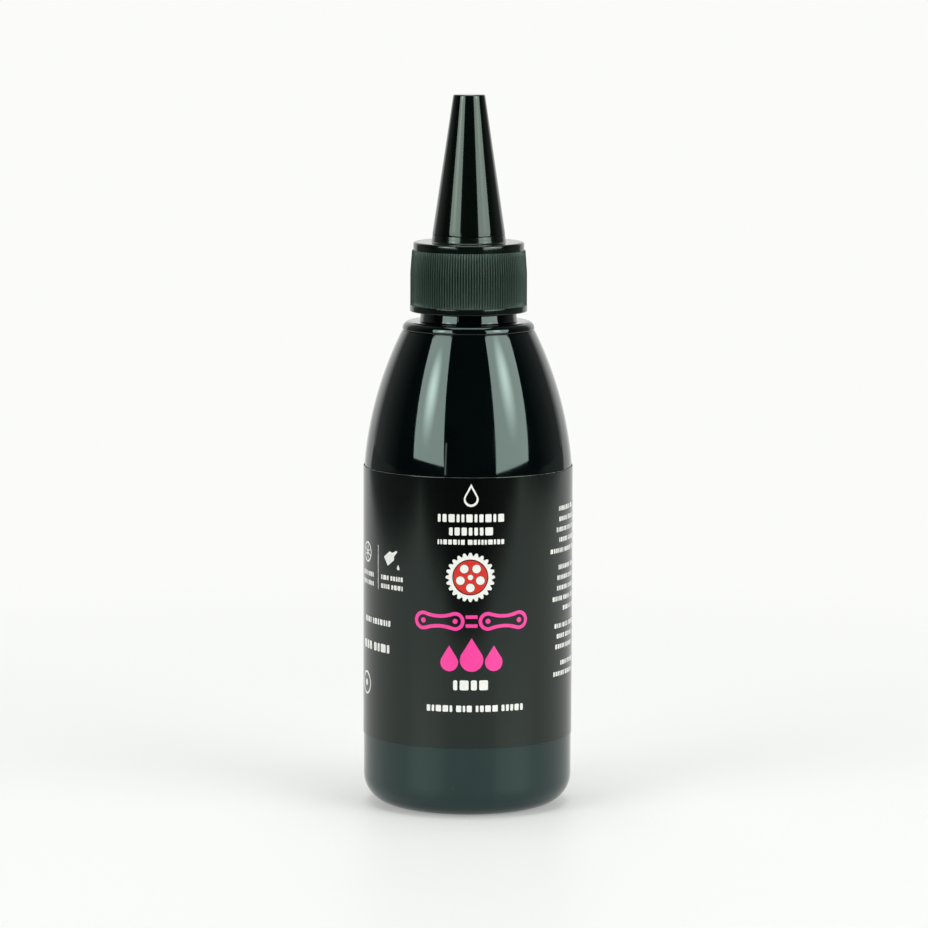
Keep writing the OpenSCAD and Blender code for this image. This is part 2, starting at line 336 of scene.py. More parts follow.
@dataclass(frozen=True, kw_only=True)
class CutFilm(Finish):
    """The label's cut edge, a thin pale line: the film's clear core shows there, and its pale colour is also
    a painted highlight for the light that the edge catches.
    """

    name: str = "cut_film_edge"
    low_hex: str = "#a9b3ab"
    high_hex: str = "#6d766f"
    ior: float = 1.5
    roughness: float = 0.4
    burr_mm: float = 3.0
    burr_span: Point = (0.35, 0.65)

    def even(self) -> dict[str, object]:
        """Returns what is the same all over, by the shader's inputs."""
        return super().even() | {"Roughness": self.roughness}

    def varied(self, tree: Tree) -> dict[str, Source]:
        """Returns the core's colour, which the knife's burr darkens here and there."""
        return {"Base Color": self.mottle(tree, pattern(tree, self.burr_mm), self.burr_span)}


@dataclass(frozen=True, kw_only=True)
class MouldedPolypropylene(Finish):
    """Injection-moulded polypropylene, black with a green cast, in one of three gloss levels.

    The eye sees a dull grip, a soft sheen on the cap's bands, and long clean streaks on the overcap.
    """

    ior: float = 1.49
    tint_hex: str = "#e6fbf0"
    relief_share: float = 0.4
    gloss: Point
    grain_mm: float
    flow_mm: float = 5.0
    flow_stretch: tuple[float, float, float] = (1, 1, 0.3)

    def varied(self, tree: Tree) -> dict[str, Source]:
        """Adds the colour and gloss that follow the plastic's flow, and the mould's fine grain.

        Args:
            tree: the node tree that gets them.

        Returns:
            What feeds each input of the shader.
        """
        flow = pattern(tree, self.flow_mm, self.flow_stretch)
        rough = add_node(tree, "MapRange", spans(MOST_NOISE, self.gloss), {0: flow})
        return {
            "Base Color": self.mottle(tree, flow),
            "Roughness": rough,
            "Normal": self.relief(tree, pattern(tree, self.grain_mm)),
        }


@dataclass(frozen=True, kw_only=True)
class FoamedPolyethylene(Finish):
    """Foamed polyethylene sheet: soft, off-white, with fine closed cells."""

    name: str = "foamed_polyethylene"
    low_hex: str = "#c4c0b4"
    high_hex: str = "#dcd9cf"
    ior: float = 1.45
    relief_share: float = 0.6
    relief_mm: float = 0.05
    roughness: float = 0.8
    glow: float = 0.1
    glow_mm: float = 0.4
    cell_mm: float = 0.4

    def even(self) -> dict[str, object]:
        """Returns what is the same all over, by the shader's inputs."""
        soft = {"Subsurface Weight": self.glow, "Subsurface Scale": self.glow_mm * MM}
        return super().even() | soft | {"Roughness": self.roughness}

    def varied(self, tree: Tree) -> dict[str, Source]:
        """Returns the colour and relief of the foam's cells, by the shader's inputs."""
        walls = cells(tree, self.cell_mm).outputs["Distance"]
        return {"Base Color": self.mottle(tree, walls, (0, 1)), "Normal": self.relief(tree, walls)}


@dataclass(frozen=True, kw_only=True)
class ScreenInk(Finish):
    """Screen-printed ink: an opaque, slightly raised layer with a faint mottle."""

    ior: float = 1.48
    relief_mm: float = 0.004
    mottle_mm: float = 0.6
    mottle_span: Point = (0.3, 0.75)
    gloss: Point = (0.32, 0.44)

    def varied(self, tree: Tree) -> dict[str, Source]:
        """Adds the ink's mottle, which shows in its colour, gloss and relief.

        Args:
            tree: the node tree that gets it.

        Returns:
            What feeds each input of the shader.
        """
        spots = pattern(tree, self.mottle_mm)
        rough = add_node(tree, "MapRange", spans(MOST_NOISE, self.gloss), {0: spots})
        return {
            "Base Color": self.mottle(tree, spots, self.mottle_span),
            "Roughness": rough,
            "Normal": self.relief(tree, spots),
        }


BOTTLE_FINISH = BlownPolyethylene()
LABEL_FINISH = PrintedFilm()
EDGE_FINISH = CutFilm()
CAP_FINISH = MouldedPolypropylene(
    name="glossy_cap_polypropylene",
    low_hex="#070d0b",
    high_hex="#0b120f",
    gloss=(0.1, 0.15),
    grain_mm=0.4,
    relief_mm=0.003,
)
# The grip is drawn paler and greener than the bands of the same plastic: painted sheen for the light that its
# satin ribs catch
GRIP_FINISH = MouldedPolypropylene(
    name="satin_grip_polypropylene",
    low_hex="#1a2a23",
    high_hex="#1f2f28",
    gloss=(0.38, 0.44),
    grain_mm=0.3,
    relief_mm=0.006,
)
OVERCAP_FINISH = MouldedPolypropylene(
    name="glossy_polypropylene",
    low_hex="#050a08",
    high_hex="#090f0c",
    gloss=(0.06, 0.1),
    grain_mm=0.5,
    relief_mm=0.002,
    flow_stretch=(1, 1, 0.1),
)
WASHER_FINISH = FoamedPolyethylene()


class Ink(Enum):
    """The label's three printing inks."""

    WHITE = ScreenInk(name="white_screen_ink", low_hex="#f8f9f4", high_hex="#eeefe9")
    PINK = ScreenInk(name="pink_screen_ink", low_hex="#ff3fa6", high_hex="#f53a9b")
    RED = ScreenInk(name="red_screen_ink", low_hex="#df2a1d", high_hex="#cc2418")


# Outlines


def arc(centre: Point, radius: float, start_deg: float, end_deg: float, steps: int) -> Outline:
    """Returns the points of an arc, both ends included.

    Args:
        centre: the arc's centre.
        radius: its radius.
        start_deg: angle of its first point.
        end_deg: angle of its last point.
        steps: number of steps between them.

    Returns:
        The arc's points.
    """
    turns = [math.radians(start_deg + (end_deg - start_deg) * i / steps) for i in range(steps + 1)]
    return [(centre[0] + radius * math.cos(t), centre[1] + radius * math.sin(t)) for t in turns]


def rounded_path(corners: Sequence[tuple[float, float, float]], steps: int = 5) -> Outline:
    """Returns a path through corners, each rounded by an arc of its own radius.

    Args:
        corners: x, y and radius of each corner. The first and last points stay sharp.
        steps: steps of each arc.

    Returns:
        The path's points.
    """
    path = [corners[0][:2]]
    for before, corner, after in zip(corners, corners[1:], corners[2:]):
        spot = Vector(corner[:2])
        way_in = (Vector(before[:2]) - spot).normalized()
        way_out = (Vector(after[:2]) - spot).normalized()
        half = way_in.angle(way_out) / 2
        if corner[2] <= 0 or half > math.radians(STRAIGHT_HALF_DEG):
            path.append(tuple(spot))
            continue
        middle = spot + (way_in + way_out).normalized() * corner[2] / math.sin(half)
        first = spot + way_in * corner[2] / math.tan(half) - middle
        last = spot + way_out * corner[2] / math.tan(half) - middle
        start = math.degrees(math.atan2(first.y, first.x))
        turn = (math.degrees(math.atan2(last.y, last.x)) - start + 180) % 360 - 180
        path += arc(tuple(middle), corner[2], start, start + turn, steps)
    return path + [corners[-1][:2]]


def refined(path: Outline, step: float) -> Outline:
    """Adds points to a path, so that no stretch of it is longer than a step.

    Args:
        path: the path.
        step: the longest stretch that stays whole.

    Returns:
        The finer path.
    """
    result = [path[0]]
    for (x0, y0), (x1, y1) in zip(path, path[1:]):
        pieces = max(1, math.ceil(math.hypot(x1 - x0, y1 - y0) / step))
        result += [(x0 + (x1 - x0) * i / pieces, y0 + (y1 - y0) * i / pieces) for i in range(1, pieces + 1)]
    return result


def smooth_step(low: float, high: float, value: np.ndarray | float) -> np.ndarray | float:
    """Returns zero below low, one above high, and a smooth curve between them."""
    share = np.clip((value - low) / (high - low), 0, 1)
    return share * share * (3 - 2 * share)


# Meshes


class Skin:
    """The vertices and faces of one piece while it is made, in millimetres."""

    def __init__(self) -> None:
        """Starts with no vertices."""
        self.points: list[tuple[float, float, float]] = []
        self.faces: list[tuple[int, ...]] = []
        self.finishes: list[int] = []

    def ring(self, angles: np.ndarray, radii: np.ndarray | float, heights: np.ndarray | float) -> Ring:
        """Adds a ring of vertices round the axis.

        Args:
            angles: the vertices' angles in radians, rising anticlockwise.
            radii: one radius, or one for each vertex.
            heights: one height, or one for each vertex.

        Returns:
            The new vertices' numbers. A ring of no radius is a single vertex.
        """
        start = len(self.points)
        if np.max(np.abs(radii)) < NO_RADIUS:
            self.points.append((0.0, 0.0, float(np.mean(heights))))
            return [start]
        # Adding a row of zeros turns one height into one for each vertex
        x, y, z = radii * np.cos(angles), radii * np.sin(angles), heights + 0 * angles
        self.points += list(zip(x.tolist(), y.tolist(), z.tolist()))
        return list(range(start, len(self.points)))

    def face(self, *corners: int, finish: int = 0) -> None:
        """Adds one face with its finish."""
        self.faces.append(corners)
        self.finishes.append(finish)

    def bridge(self, lower: Ring, upper: Ring, finish: int = 0) -> None:
        """Joins two closed rings, which may be single vertices or differ by a whole factor.

        Args:
            lower: the ring that comes first along the outline.
            upper: the next ring.
            finish: number of the faces' material.
        """
        sides = max(len(lower), len(upper))
        low_share, high_share = sides // len(lower), sides // len(upper)
        for i in range(sides):
            j = (i + 1) % sides
            a, b = self.nearest(lower, low_share, i), self.nearest(lower, low_share, j)
            c, d = self.nearest(upper, high_share, j), self.nearest(upper, high_share, i)
            corners = [n for k, n in enumerate((a, b, c, d)) if n not in (a, b, c, d)[:k]]
            if len(corners) > 2:
                self.face(*corners, finish=finish)

    def loft(self, rings: list[Ring], finish: int = 0) -> None:
        """Joins each ring to the next."""
        for lower, upper in zip(rings, rings[1:]):
            self.bridge(lower, upper, finish)

    @staticmethod
    def nearest(ring: Ring, share: int, i: int) -> int:
        """Returns the ring's vertex nearest to place i of a ring that is share times finer."""
        return ring[((i + share // 2) // share) % len(ring)]

    def piece(self, name: str, finishes: Sequence[Finish], sharp_deg: float = 35) -> bpy.types.Object:
        """Makes the object.

        Args:
            name: its name.
            finishes: one finish for each number that the faces use.
            sharp_deg: edges that turn by more than this stay sharp.

        Returns:
            The object, linked to the scene.
        """
        mesh = bpy.data.meshes.new(name)
        mesh.from_pydata([tuple(c * MM for c in p) for p in self.points], [], self.faces)
        for finish in finishes:
            mesh.materials.append(finish.material())
        mesh.polygons.foreach_set("material_index", self.finishes)
        mesh.shade_smooth()
        mesh.set_sharp_from_angle(angle=math.radians(sharp_deg))
        mesh.update()
        made = bpy.data.objects.new(name, mesh)
        bpy.context.scene.collection.objects.link(made)
        return made


def even_angles(count: int) -> np.ndarray:
    """Returns that many angles, evenly spread over a full turn."""
    return np.arange(count) * 2 * math.pi / count


@dataclass(frozen=True)
class ScrewRidge:
    """A thread's ridge as a height over a turned wall: how far it stands out at an angle and height."""

    start_z: float
    rise: float
    turns: float
    height: float
    root_w: float
    crest_w: float
    fade: float = 0.09

    def stands_out(self, angles: np.ndarray, z: float) -> np.ndarray:
        """Works out how far the ridge stands out.

        Args:
            angles: angles in radians.
            z: the height above the ground.

        Returns:
            The ridge's height at each angle.
        """
        most = np.zeros_like(angles)
        for turn in range(math.ceil(self.turns)):
            travel = (angles + 2 * math.pi * turn) / (2 * math.pi * self.turns)
            away = np.abs(z - (self.start_z + self.rise * travel))
            flank = np.clip((self.root_w / 2 - away) / ((self.root_w - self.crest_w) / 2), 0, 1)
            ends = np.clip(np.minimum(travel, 1 - travel) / self.fade, 0, 1)
            most = np.maximum(most, flank * ends * (travel <= 1))
        return most * self.height


# The pieces


@dataclass
class Bottle:
    """The blown bottle: a hollow body with a long shoulder, a rim, and a threaded neck."""

    body_d: float = 42.2
    side_h: float = 65.7
    wall: float = 1.0
    corner_r: float = 5.8
    push_up_h: float = 2.2
    foot_w: float = 0.9
    ease_r: float = 55.0
    ease_lean: float = 8.0
    shoulder_r: float = 75.5
    rim_d: float = 26.7
    rim_h: float = 1.85
    rim_edge_r: float = 1.4
    groove: float = 0.2
    neck_h: float = 13.7
    neck_d: float = 17.7
    bore_d: float = 14.0
    heel_d: float = 19.8
    heel_h: float = 2.2
    heel_draft: float = 0.3
    thread_d: float = 19.7
    pitch: float = 3.175
    turns: float = 1.5
    thread_root_w: float = 2.0
    thread_crest_w: float = 0.9
    thread_lead: float = 2.2
    seam_h: float = 0.03
    seam_w: float = 0.14
    pinch_h: float = 0.25
    pinch_w: float = 0.6
    roof_t: float = 1.3
    roof_corner_r: float = 0.6
    groove_h: float = 0.3
    groove_foot_h: float = 0.02
    groove_foot_r: float = 0.06
    groove_top_h: float = 0.1
    groove_top_r: float = 0.05
    groove_edge_r: float = 0.25
    seam_rise: Point = (0.3, 2.0)
    pinch_share: float = 0.75
    pinch_edge: float = 0.1
    pinch_end: float = 0.4
    floor_room: float = 0.05
    thread_room: float = 0.6
    foot_edge_r: float = 0.5
    heel_foot_r: float = 0.35
    heel_edge_r: float = 0.25
    neck_foot_r: float = 0.4
    lip_edge_r: float = 0.5
    bore_edge_r: float = 0.35
    side_row: float = 2.6
    neck_row: float = 0.6
    thread_row: float = 0.12
    corner_steps: int = 18
    ease_steps: int = 10
    shoulder_steps: int = 40
    dome_steps: int = 36
    sides: int = 240
    seam_offsets_deg: tuple[float, ...] = (0.18, 0.4, 0.75)

    @property
    def radius(self) -> float:
        """Outside radius of the straight side."""
        return self.body_d / 2

    @property
    def ease_end(self) -> Point:
        """Where the easing curve meets the shoulder's long curve."""
        lean = math.radians(self.ease_lean)
        return (self.radius - self.ease_r * (1 - math.cos(lean)), self.side_h + self.ease_r * math.sin(lean))

    @property
    def shoulder_centre(self) -> Point:
        """Works out the centre of the shoulder's long curve.

        Returns:
            The centre, as a radius and a height.
        """
        lean = math.radians(self.ease_lean)
        x, z = self.ease_end
        return (x - self.shoulder_r * math.cos(lean), z - self.shoulder_r * math.sin(lean))

    @property
    def shoulder_end_deg(self) -> float:
        """Lean of the shoulder where it meets the rim."""
        return math.degrees(math.acos((self.rim_d / 2 - self.shoulder_centre[0]) / self.shoulder_r))

    @property
    def shoulder_end_z(self) -> float:
        """Height at which the shoulder ends under the rim."""
        return self.shoulder_centre[1] + self.shoulder_r * math.sin(math.radians(self.shoulder_end_deg))

    @property
    def rim_top_z(self) -> float:
        """Height of the rim's upper face."""
        return self.shoulder_end_z + self.rim_h

    @property
    def lip_z(self) -> float:
        """Height of the lip that the washer seals."""
        return self.rim_top_z + self.neck_h

    @property
    def thread_foot_z(self) -> float:
        """Height of the thread's centre line where the thread begins."""
        return self.lip_z - self.thread_lead - self.pitch * self.turns

    def angles(self) -> np.ndarray:
        """Spreads the angles of a ring, closer together at the two mould seams.

        Returns:
            The angles, in radians.
        """
        extra = [
            math.radians(seam + side * away)
            for seam in (0, 180)
            for side in (-1, 1)
            for away in self.seam_offsets_deg
        ]
        return np.array(sorted(list(even_angles(self.sides)) + [a % (2 * math.pi) for a in extra]))

    def side_outline(self, skin: float) -> Outline:
        """Draws the side from the corner's foot up to the rim, less a skin.

        Args:
            skin: how far inside the outer surface it runs.

        Returns:
            The outline.
        """
        foot = (self.radius - self.corner_r, self.corner_r)
        ease = (self.radius - self.ease_r, self.side_h)
        corner = arc(foot, self.corner_r - skin, -90, 0, self.corner_steps)
        easing = arc(ease, self.ease_r - skin, 0, self.ease_lean, self.ease_steps)
        turn = (self.ease_lean, self.shoulder_end_deg)
        shoulder = arc(self.shoulder_centre, self.shoulder_r - skin, *turn, self.shoulder_steps)
        return refined(corner + easing, self.side_row) + shoulder[1:]

    def underside(self) -> Outline:
        """Draws the hollow base from its middle to the ring that the bottle stands on.

        Returns:
            The outline.
        """
        inner_r = self.radius - self.corner_r - self.foot_w
        ball_r = (inner_r**2 + self.push_up_h**2) / (2 * self.push_up_h)
        radii = [inner_r * i / self.dome_steps for i in range(self.dome_steps + 1)]
        dome = [(r, self.push_up_h - ball_r + math.sqrt(ball_r**2 - r * r)) for r in radii]
        ring = [(*dome[-2], 0), (inner_r, 0, self.foot_edge_r), (inner_r + self.foot_w, 0, 0)]
        edge = rounded_path(ring, 4)
        return dome[:-2] + edge[:-1]

    def rim_and_neck(self) -> Outline:
        """Draws the way over the rim, the heel and the neck to the lip, and down the bore.

        Returns:
            The outline.
        """
        rim_r, heel_r, neck_r = self.rim_d / 2, self.heel_d / 2, self.neck_d / 2
        low, top, lip = self.shoulder_end_z, self.rim_top_z, self.lip_z
        heel_z = top + self.heel_h
        corners = [
            (rim_r, low, 0),
            (rim_r - self.groove, low + self.groove_foot_h, self.groove_foot_r),
            (rim_r - self.groove, low + self.groove_top_h, self.groove_top_r),
            (rim_r, low + self.groove_h, self.groove_edge_r),
            (rim_r, top, self.rim_edge_r),
            (heel_r, top, self.heel_foot_r),
            (heel_r - self.heel_draft, heel_z, self.heel_edge_r),
            (neck_r, heel_z + heel_r - neck_r, self.neck_foot_r),
            (neck_r, lip, self.lip_edge_r),
            (self.bore_d / 2, lip, self.bore_edge_r),
            (self.bore_d / 2, top - self.roof_t, 0),
        ]
        return refined(rounded_path(corners, 7), self.neck_row)

    def inside(self) -> Outline:
        """Draws the hollow, from under the neck down to the middle of the floor.

        Returns:
            The outline.
        """
        roof_z = self.rim_top_z - self.roof_t
        wall = self.side_outline(self.wall)[::-1]
        least = self.wall + self.floor_room
        floor = [(r, z + self.wall) for r, z in self.underside() if z + self.wall > least][::-1]
        roof = [(self.bore_d / 2, roof_z, 0), (wall[0][0], roof_z, self.roof_corner_r), (*wall[0], 0)]
        return rounded_path(roof)[1:] + wall[1:] + floor

    def build(self) -> bpy.types.Object:
        """Makes the bottle's mesh.

        Returns:
            Its object.
        """
        skin, angles = Skin(), self.angles()
        thread = ScrewRidge(
            self.thread_foot_z,
            self.pitch * self.turns,
            self.turns,
            (self.thread_d - self.neck_d) / 2,
            self.thread_root_w,
            self.thread_crest_w,
        )
        seam = self.seam(angles)
        under = self.underside()
        outer = self.with_thread_rows(under + self.side_outline(0) + self.rim_and_neck())
        rings = []
        for r, z in outer:
            heights = z + 0 * angles
            radii = r + 0 * angles
            if (r, z) in under:
                heights = heights - self.pinch(r, angles)
            elif z < self.shoulder_end_z:
                radii = radii + seam * smooth_step(*self.seam_rise, z)
            elif abs(r - self.neck_d / 2) < SAME_RADIUS:
                radii = radii + thread.stands_out(angles, z)
            rings.append(skin.ring(angles, radii if r > 0 else 0.0, heights))
        rings += [skin.ring(angles, r, z) for r, z in self.inside()]
        skin.loft(rings)
        return skin.piece("bottle_shell", [BOTTLE_FINISH])

    def with_thread_rows(self, outline: Outline) -> Outline:
        """Adds close rows where the thread lies on the neck.

        Args:
            outline: the bottle's outside.

        Returns:
            The outline with the rows.
        """
        low, high = self.thread_foot_z - self.thread_root_w, self.lip_z - self.thread_room
        neck_r = self.neck_d / 2
        result: Outline = []
        for point, after in zip(outline, outline[1:] + outline[-1:]):
            result.append(point)
            upright = point[0] == after[0] and abs(point[0] - neck_r) < SAME_RADIUS
            if upright and low < point[1] < after[1] < high:
                result += refined([point, after], self.thread_row)[1:-1]
        return result

    def seam(self, angles: np.ndarray) -> np.ndarray:
        """Returns how far the mould's parting line stands out at each angle."""
        away = self.radius * np.abs(np.sin(angles))
        return self.seam_h * np.exp(-((away / self.seam_w) ** 2))

    def pinch(self, r: float, angles: np.ndarray) -> np.ndarray:
        """Works out how far the pinch bar hangs down on the hollow base.

        Args:
            r: distance from the axis.
            angles: the ring's angles.

        Returns:
            The drop at each angle.
        """
        half_l, half_w = self.pinch_share * (self.radius - self.corner_r - self.foot_w), self.pinch_w / 2
        aside = np.abs(r * np.sin(angles))
        across = 1 - smooth_step(half_w - self.pinch_edge, half_w + self.pinch_edge, aside)
        return self.pinch_h * across * (1 - smooth_step(half_l - self.pinch_end, half_l, r))

    def dress(self, shell: bpy.types.Object) -> None:
        """Sets the bottle on its body in place of its plain solid.

        Args:
            shell: the bottle's object.
        """
        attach(shell, "bottle")
        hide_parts("bottle")


@dataclass
class Label:
    """The wrap label: one strip of film round the straight side, with a lap at the back."""

    body_r: float
    side_h: float
    film: float = 0.15
    foot_z: float = 14.4
    rise: float = 3.4
    lap: float = 6.0
    lift: float = 0.005
    edge_r: float = 0.035
    brink: float = 0.1
    row: float = 2.0
    step_up_deg: Point = (356.4, 359.6)
    columns: int = 376

    @property
    def radius(self) -> float:
        """Radius of the printed face."""
        return self.body_r + self.film

    @property
    def top_z(self) -> float:
        """Height of the label's upper edge."""
        return self.side_h + self.rise

    def build(self) -> bpy.types.Object:
        """Makes the label's mesh.

        Returns:
            Its object.
        """
        skin = Skin()
        lap_deg = math.degrees(self.lap / self.body_r)
        start = 90 - lap_deg / 2
        strips = []
        for i in range(self.columns + 1):
            sweep = (360 + lap_deg) * i / self.columns
            step_up = float(smooth_step(*self.step_up_deg, sweep))
            inner = self.body_r + self.lift + self.film * step_up
            outer = inner + self.film - self.lift
            # Rows close to the two edges keep the shading of the wide face flat
            corners = [
                (inner, self.foot_z, 0),
                (outer, self.foot_z, self.edge_r),
                (outer, self.foot_z + self.brink, 0),
                (outer, self.top_z - self.brink, 0),
                (outer, self.top_z, self.edge_r),
                (inner, self.top_z, 0),
            ]
            path = refined(rounded_path(corners, 2), self.row)
            turn = math.radians(start + sweep)
            first = len(skin.points)
            skin.points += [(r * math.cos(turn), r * math.sin(turn), z) for r, z in path]
            strips.append(list(range(first, len(skin.points))))
        rows = len(strips[0])
        for left, right in zip(strips, strips[1:]):
            for k in range(rows):
                after = (k + 1) % rows
                # The pale core, with its painted highlight, shows on the lower and upper face, and on the
                # near half of each rounded edge
                cut = 1 if k < 2 or rows - 4 < k < rows - 1 else 0
                skin.face(left[k], right[k], right[after], left[after], finish=cut)
        skin.face(*strips[0], finish=1)
        skin.face(*strips[-1][::-1], finish=1)
        return skin.piece("label_film", [LABEL_FINISH, EDGE_FINISH])

    def dress(self, film: bpy.types.Object) -> None:
        """Sets the label on the bottle's body in place of its plain solid.

        Args:
            film: the label's object.
        """
        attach(film, "bottle")
        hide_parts("label")


# Shapes of the label's print, as outlines in millimetres of width and height on the unrolled label


def oval(centre: Point, radius: float, steps: int = 40) -> Outline:
    """Returns a round outline."""
    return arc(centre, radius, 0, 360, steps)[:-1]


def bar(left: float, right: float, low: float, high: float, corner: float = 0.2, steps: int = 4) -> Outline:
    """Draws a bar with rounded corners.

    Args:
        left: its left end.
        right: its right end.
        low: its lower edge.
        high: its upper edge.
        corner: the corners' radius.
        steps: steps of each corner.

    Returns:
        The outline.
    """
    corner = min(corner, (right - left) / 2.01, (high - low) / 2.01)
    middle = ((left + right) / 2, low)
    corners = [(right, low), (right, high), (left, high), (left, low)]
    return rounded_path([(*middle, 0), *((x, z, corner) for x, z in corners), (*middle, 0)], steps)[:-1]


def drop(centre: Point, width: float, height: float) -> Outline:
    """Draws a drop with its point at the top.

    Args:
        centre: the middle of its box.
        width: its width.
        height: its height.

    Returns:
        The outline.
    """
    round_r = width / 2
    belly = (centre[0], centre[1] - height / 2 + round_r)
    reach = height - round_r
    lean = math.degrees(math.asin(round_r / reach))
    tip = (centre[0], centre[1] + height / 2)
    return [tip, *arc(belly, round_r, 180 - lean, 360 + lean, 32)]


def toothed(centre: Point, tip_r: float, root_r: float, teeth: int) -> Outline:
    """Draws a chainring with round-bottomed gaps between its teeth.

    Args:
        centre: the ring's centre.
        tip_r: radius at the teeth's tips.
        root_r: radius at the gaps.
        teeth: number of teeth.

    Returns:
        The outline.
    """
    per_tooth = 10
    points = []
    for i in range(teeth * per_tooth):
        turn = 2 * math.pi * i / (teeth * per_tooth)
        wave = 0.5 + 0.5 * math.cos(teeth * turn)
        r = root_r + (tip_r - root_r) * min(1.0, 1.35 * wave)
        points.append((centre[0] + r * math.sin(turn), centre[1] + r * math.cos(turn)))
    return points


def link_plate(centre: Point, pitch: float, end_r: float, waist: float) -> Outline:
    """Draws a chain link's plate: two round ends that flow into a waist.

    Args:
        centre: the middle of the plate.
        pitch: distance between its two pins.
        end_r: radius of its ends.
        waist: half its height in the middle.

    Returns:
        The outline.
    """
    hollow_r = (pitch**2 / 4 + waist**2 - end_r**2) / (2 * (end_r - waist))
    rise = waist + hollow_r
    turn = math.degrees(math.atan2(rise, pitch / 2))
    x, z = centre
    right = arc((x + pitch / 2, z), end_r, turn - 180, 180 - turn, 24)
    over = arc((x, z + rise), hollow_r, -turn, turn - 180, 10)
    left = arc((x - pitch / 2, z), end_r, turn, 360 - turn, 24)
    under = arc((x, z - rise), hollow_r, 180 - turn, turn, 10)
    return right + over[1:-1] + left + under[1:-1]


@dataclass
class Artwork:
    """The label's print: rows of plain blocks, a row of links, drops and a chainring."""

    label: Label
    shift: float = 0.62
    ink: float = 0.02
    sunk: float = 0.03
    widest_facet: float = 0.8
    seed: int = 7
    slit: float = 0.24
    block_pitch: float = 0.78
    block_widths: tuple[float, ...] = (0.7, 1.0, 1.5)
    block_corner: float = 0.12
    group_space: float = 0.6
    group_shares: Point = (0.6, 1.4)

    def shapes(self) -> dict[Ink, list[list[Outline]]]:
        """Draws the whole print.

        Returns:
            Each ink's shapes, each as an outline and the outlines of its holes.
        """
        chance = random.Random(self.seed)
        shapes: dict[Ink, list[list[Outline]]] = {ink: [] for ink in Ink}
        shapes[Ink.WHITE] += self.front_rows(chance) + self.left_panel(chance) + self.small_print(chance)
        shapes[Ink.WHITE].append(self.drop_sign())
        white, red = self.chainring()
        shapes[Ink.WHITE] += white
        shapes[Ink.RED].append(red)
        shapes[Ink.PINK] += self.link_row() + self.three_drops()
        return shapes

    def drop_sign(self) -> list[Outline]:
        """Returns the small outlined drop at the top."""
        return [drop((self.shift, 65.6), 2.95, 4.6), drop((self.shift, 65.45), 2.2, 3.35)]

    def front_rows(self, chance: random.Random) -> list[list[Outline]]:
        """Draws the rows of small blocks on the front.

        Args:
            chance: source of the blocks' widths.

        Returns:
            The blocks.
        """
        rows = [
            (self.shift, 61.0, 13.4, 1.6, 1),
            (self.shift, 58.35, 8.8, 1.6, 1),
            (self.shift, 56.2, 13.5, 1.0, 2),
            (self.shift, 27.35, 7.0, 2.0, 1),
            (1.65, 22.6, 20.0, 1.3, 4),
        ]
        return [shape for row in rows for shape in self.block_row(*row, chance)]

    def block_row(
        self,
        middle: float,
        height: float,
        width: float,
        tall: float,
        groups: int,
        chance: random.Random,
    ) -> list[list[Outline]]:
        """Draws one row of small plain blocks in groups.

        Args:
            middle: where its middle lies across the label.
            height: height of its middle.
            width: its length.
            tall: how tall its blocks are.
            groups: number of groups.
            chance: source of the widths.

        Returns:
            The blocks.
        """
        space, slit = self.group_space * tall, self.slit * tall
        shares = [chance.uniform(*self.group_shares) for _ in range(groups)]
        room = (width - space * (groups - 1)) / sum(shares)
        left = middle - width / 2
        blocks = []
        for share in shares:
            count = max(2, round(share * room / (self.block_pitch * tall)))
            widths = [chance.choice(self.block_widths) for _ in range(count)]
            scale = (share * room - slit * (count - 1)) / sum(widths)
            at = left
            for wide in widths:
                right = at + wide * scale
                corner = self.block_corner * tall
                blocks.append([bar(at, right, height - tall / 2, height + tall / 2, corner, 2)])
                at = right + slit
            left += share * room + space
        return blocks

    def left_panel(self, chance: random.Random) -> list[list[Outline]]:
        """Draws the left side: a wheel, a pouring bottle, a plain ring and their rows.

        Args:
            chance: source of the bars' widths.

        Returns:
            The shapes.
        """
        wheel, pourer = (-26.6, 52.2), (-17.4, 52.2)
        shapes = [
            [oval(wheel, 2.1), oval(wheel, 1.75)],
            [oval(wheel, 0.55), oval(wheel, 0.25)],
            [self.pouring_bottle(pourer)],
            [drop((pourer[0] + 2.2, pourer[1] - 1.9), 0.7, 1.1)],
            [bar(-21.58, -21.4, 45.2, 54.2, 0.05)],
            [oval((-27.2, 25.4), 2.4), oval((-27.2, 25.4), 2.0)],
            [oval((-27.2, 25.4), 0.7)],
        ]
        for i in range(8):
            turn = math.radians(45 * i + 22.5)
            side, along = 0.09, (math.sin(turn), math.cos(turn))
            ends = [(wheel[0] + along[0] * r, wheel[1] + along[1] * r) for r in (0.5, 1.8)]
            across = (along[1] * side, -along[0] * side)
            sides = zip(ends + ends[::-1], (1, 1, -1, -1))
            shapes.append([[(x + s * across[0], z + s * across[1]) for (x, z), s in sides]])
        for middle in (-26.6, -17.2):
            for height in (47.9, 46.1):
                shapes += self.block_row(middle, height, 6.4, 0.95, 2, chance)
        shapes += self.block_row(-22.7, 38.6, 10.6, 1.2, 2, chance)
        shapes += self.block_row(-23.2, 33.4, 11.0, 1.7, 2, chance)
        return shapes

    @staticmethod
    def pouring_bottle(centre: Point) -> Outline:
        """Draws a small bottle with a long spout, tipped over to the right.

        Args:
            centre: the middle of the bottle.

        Returns:
            The outline.
        """
        half = [(1.05, -1.7), (1.05, 0.5), (0.42, 1.0), (0.16, 2.3)]
        upright = half + [(-x, z) for x, z in half[::-1]]
        tip = math.radians(-55)
        cos, sin = math.cos(tip), math.sin(tip)
        return [(centre[0] + x * cos - z * sin, centre[1] + x * sin + z * cos) for x, z in upright]

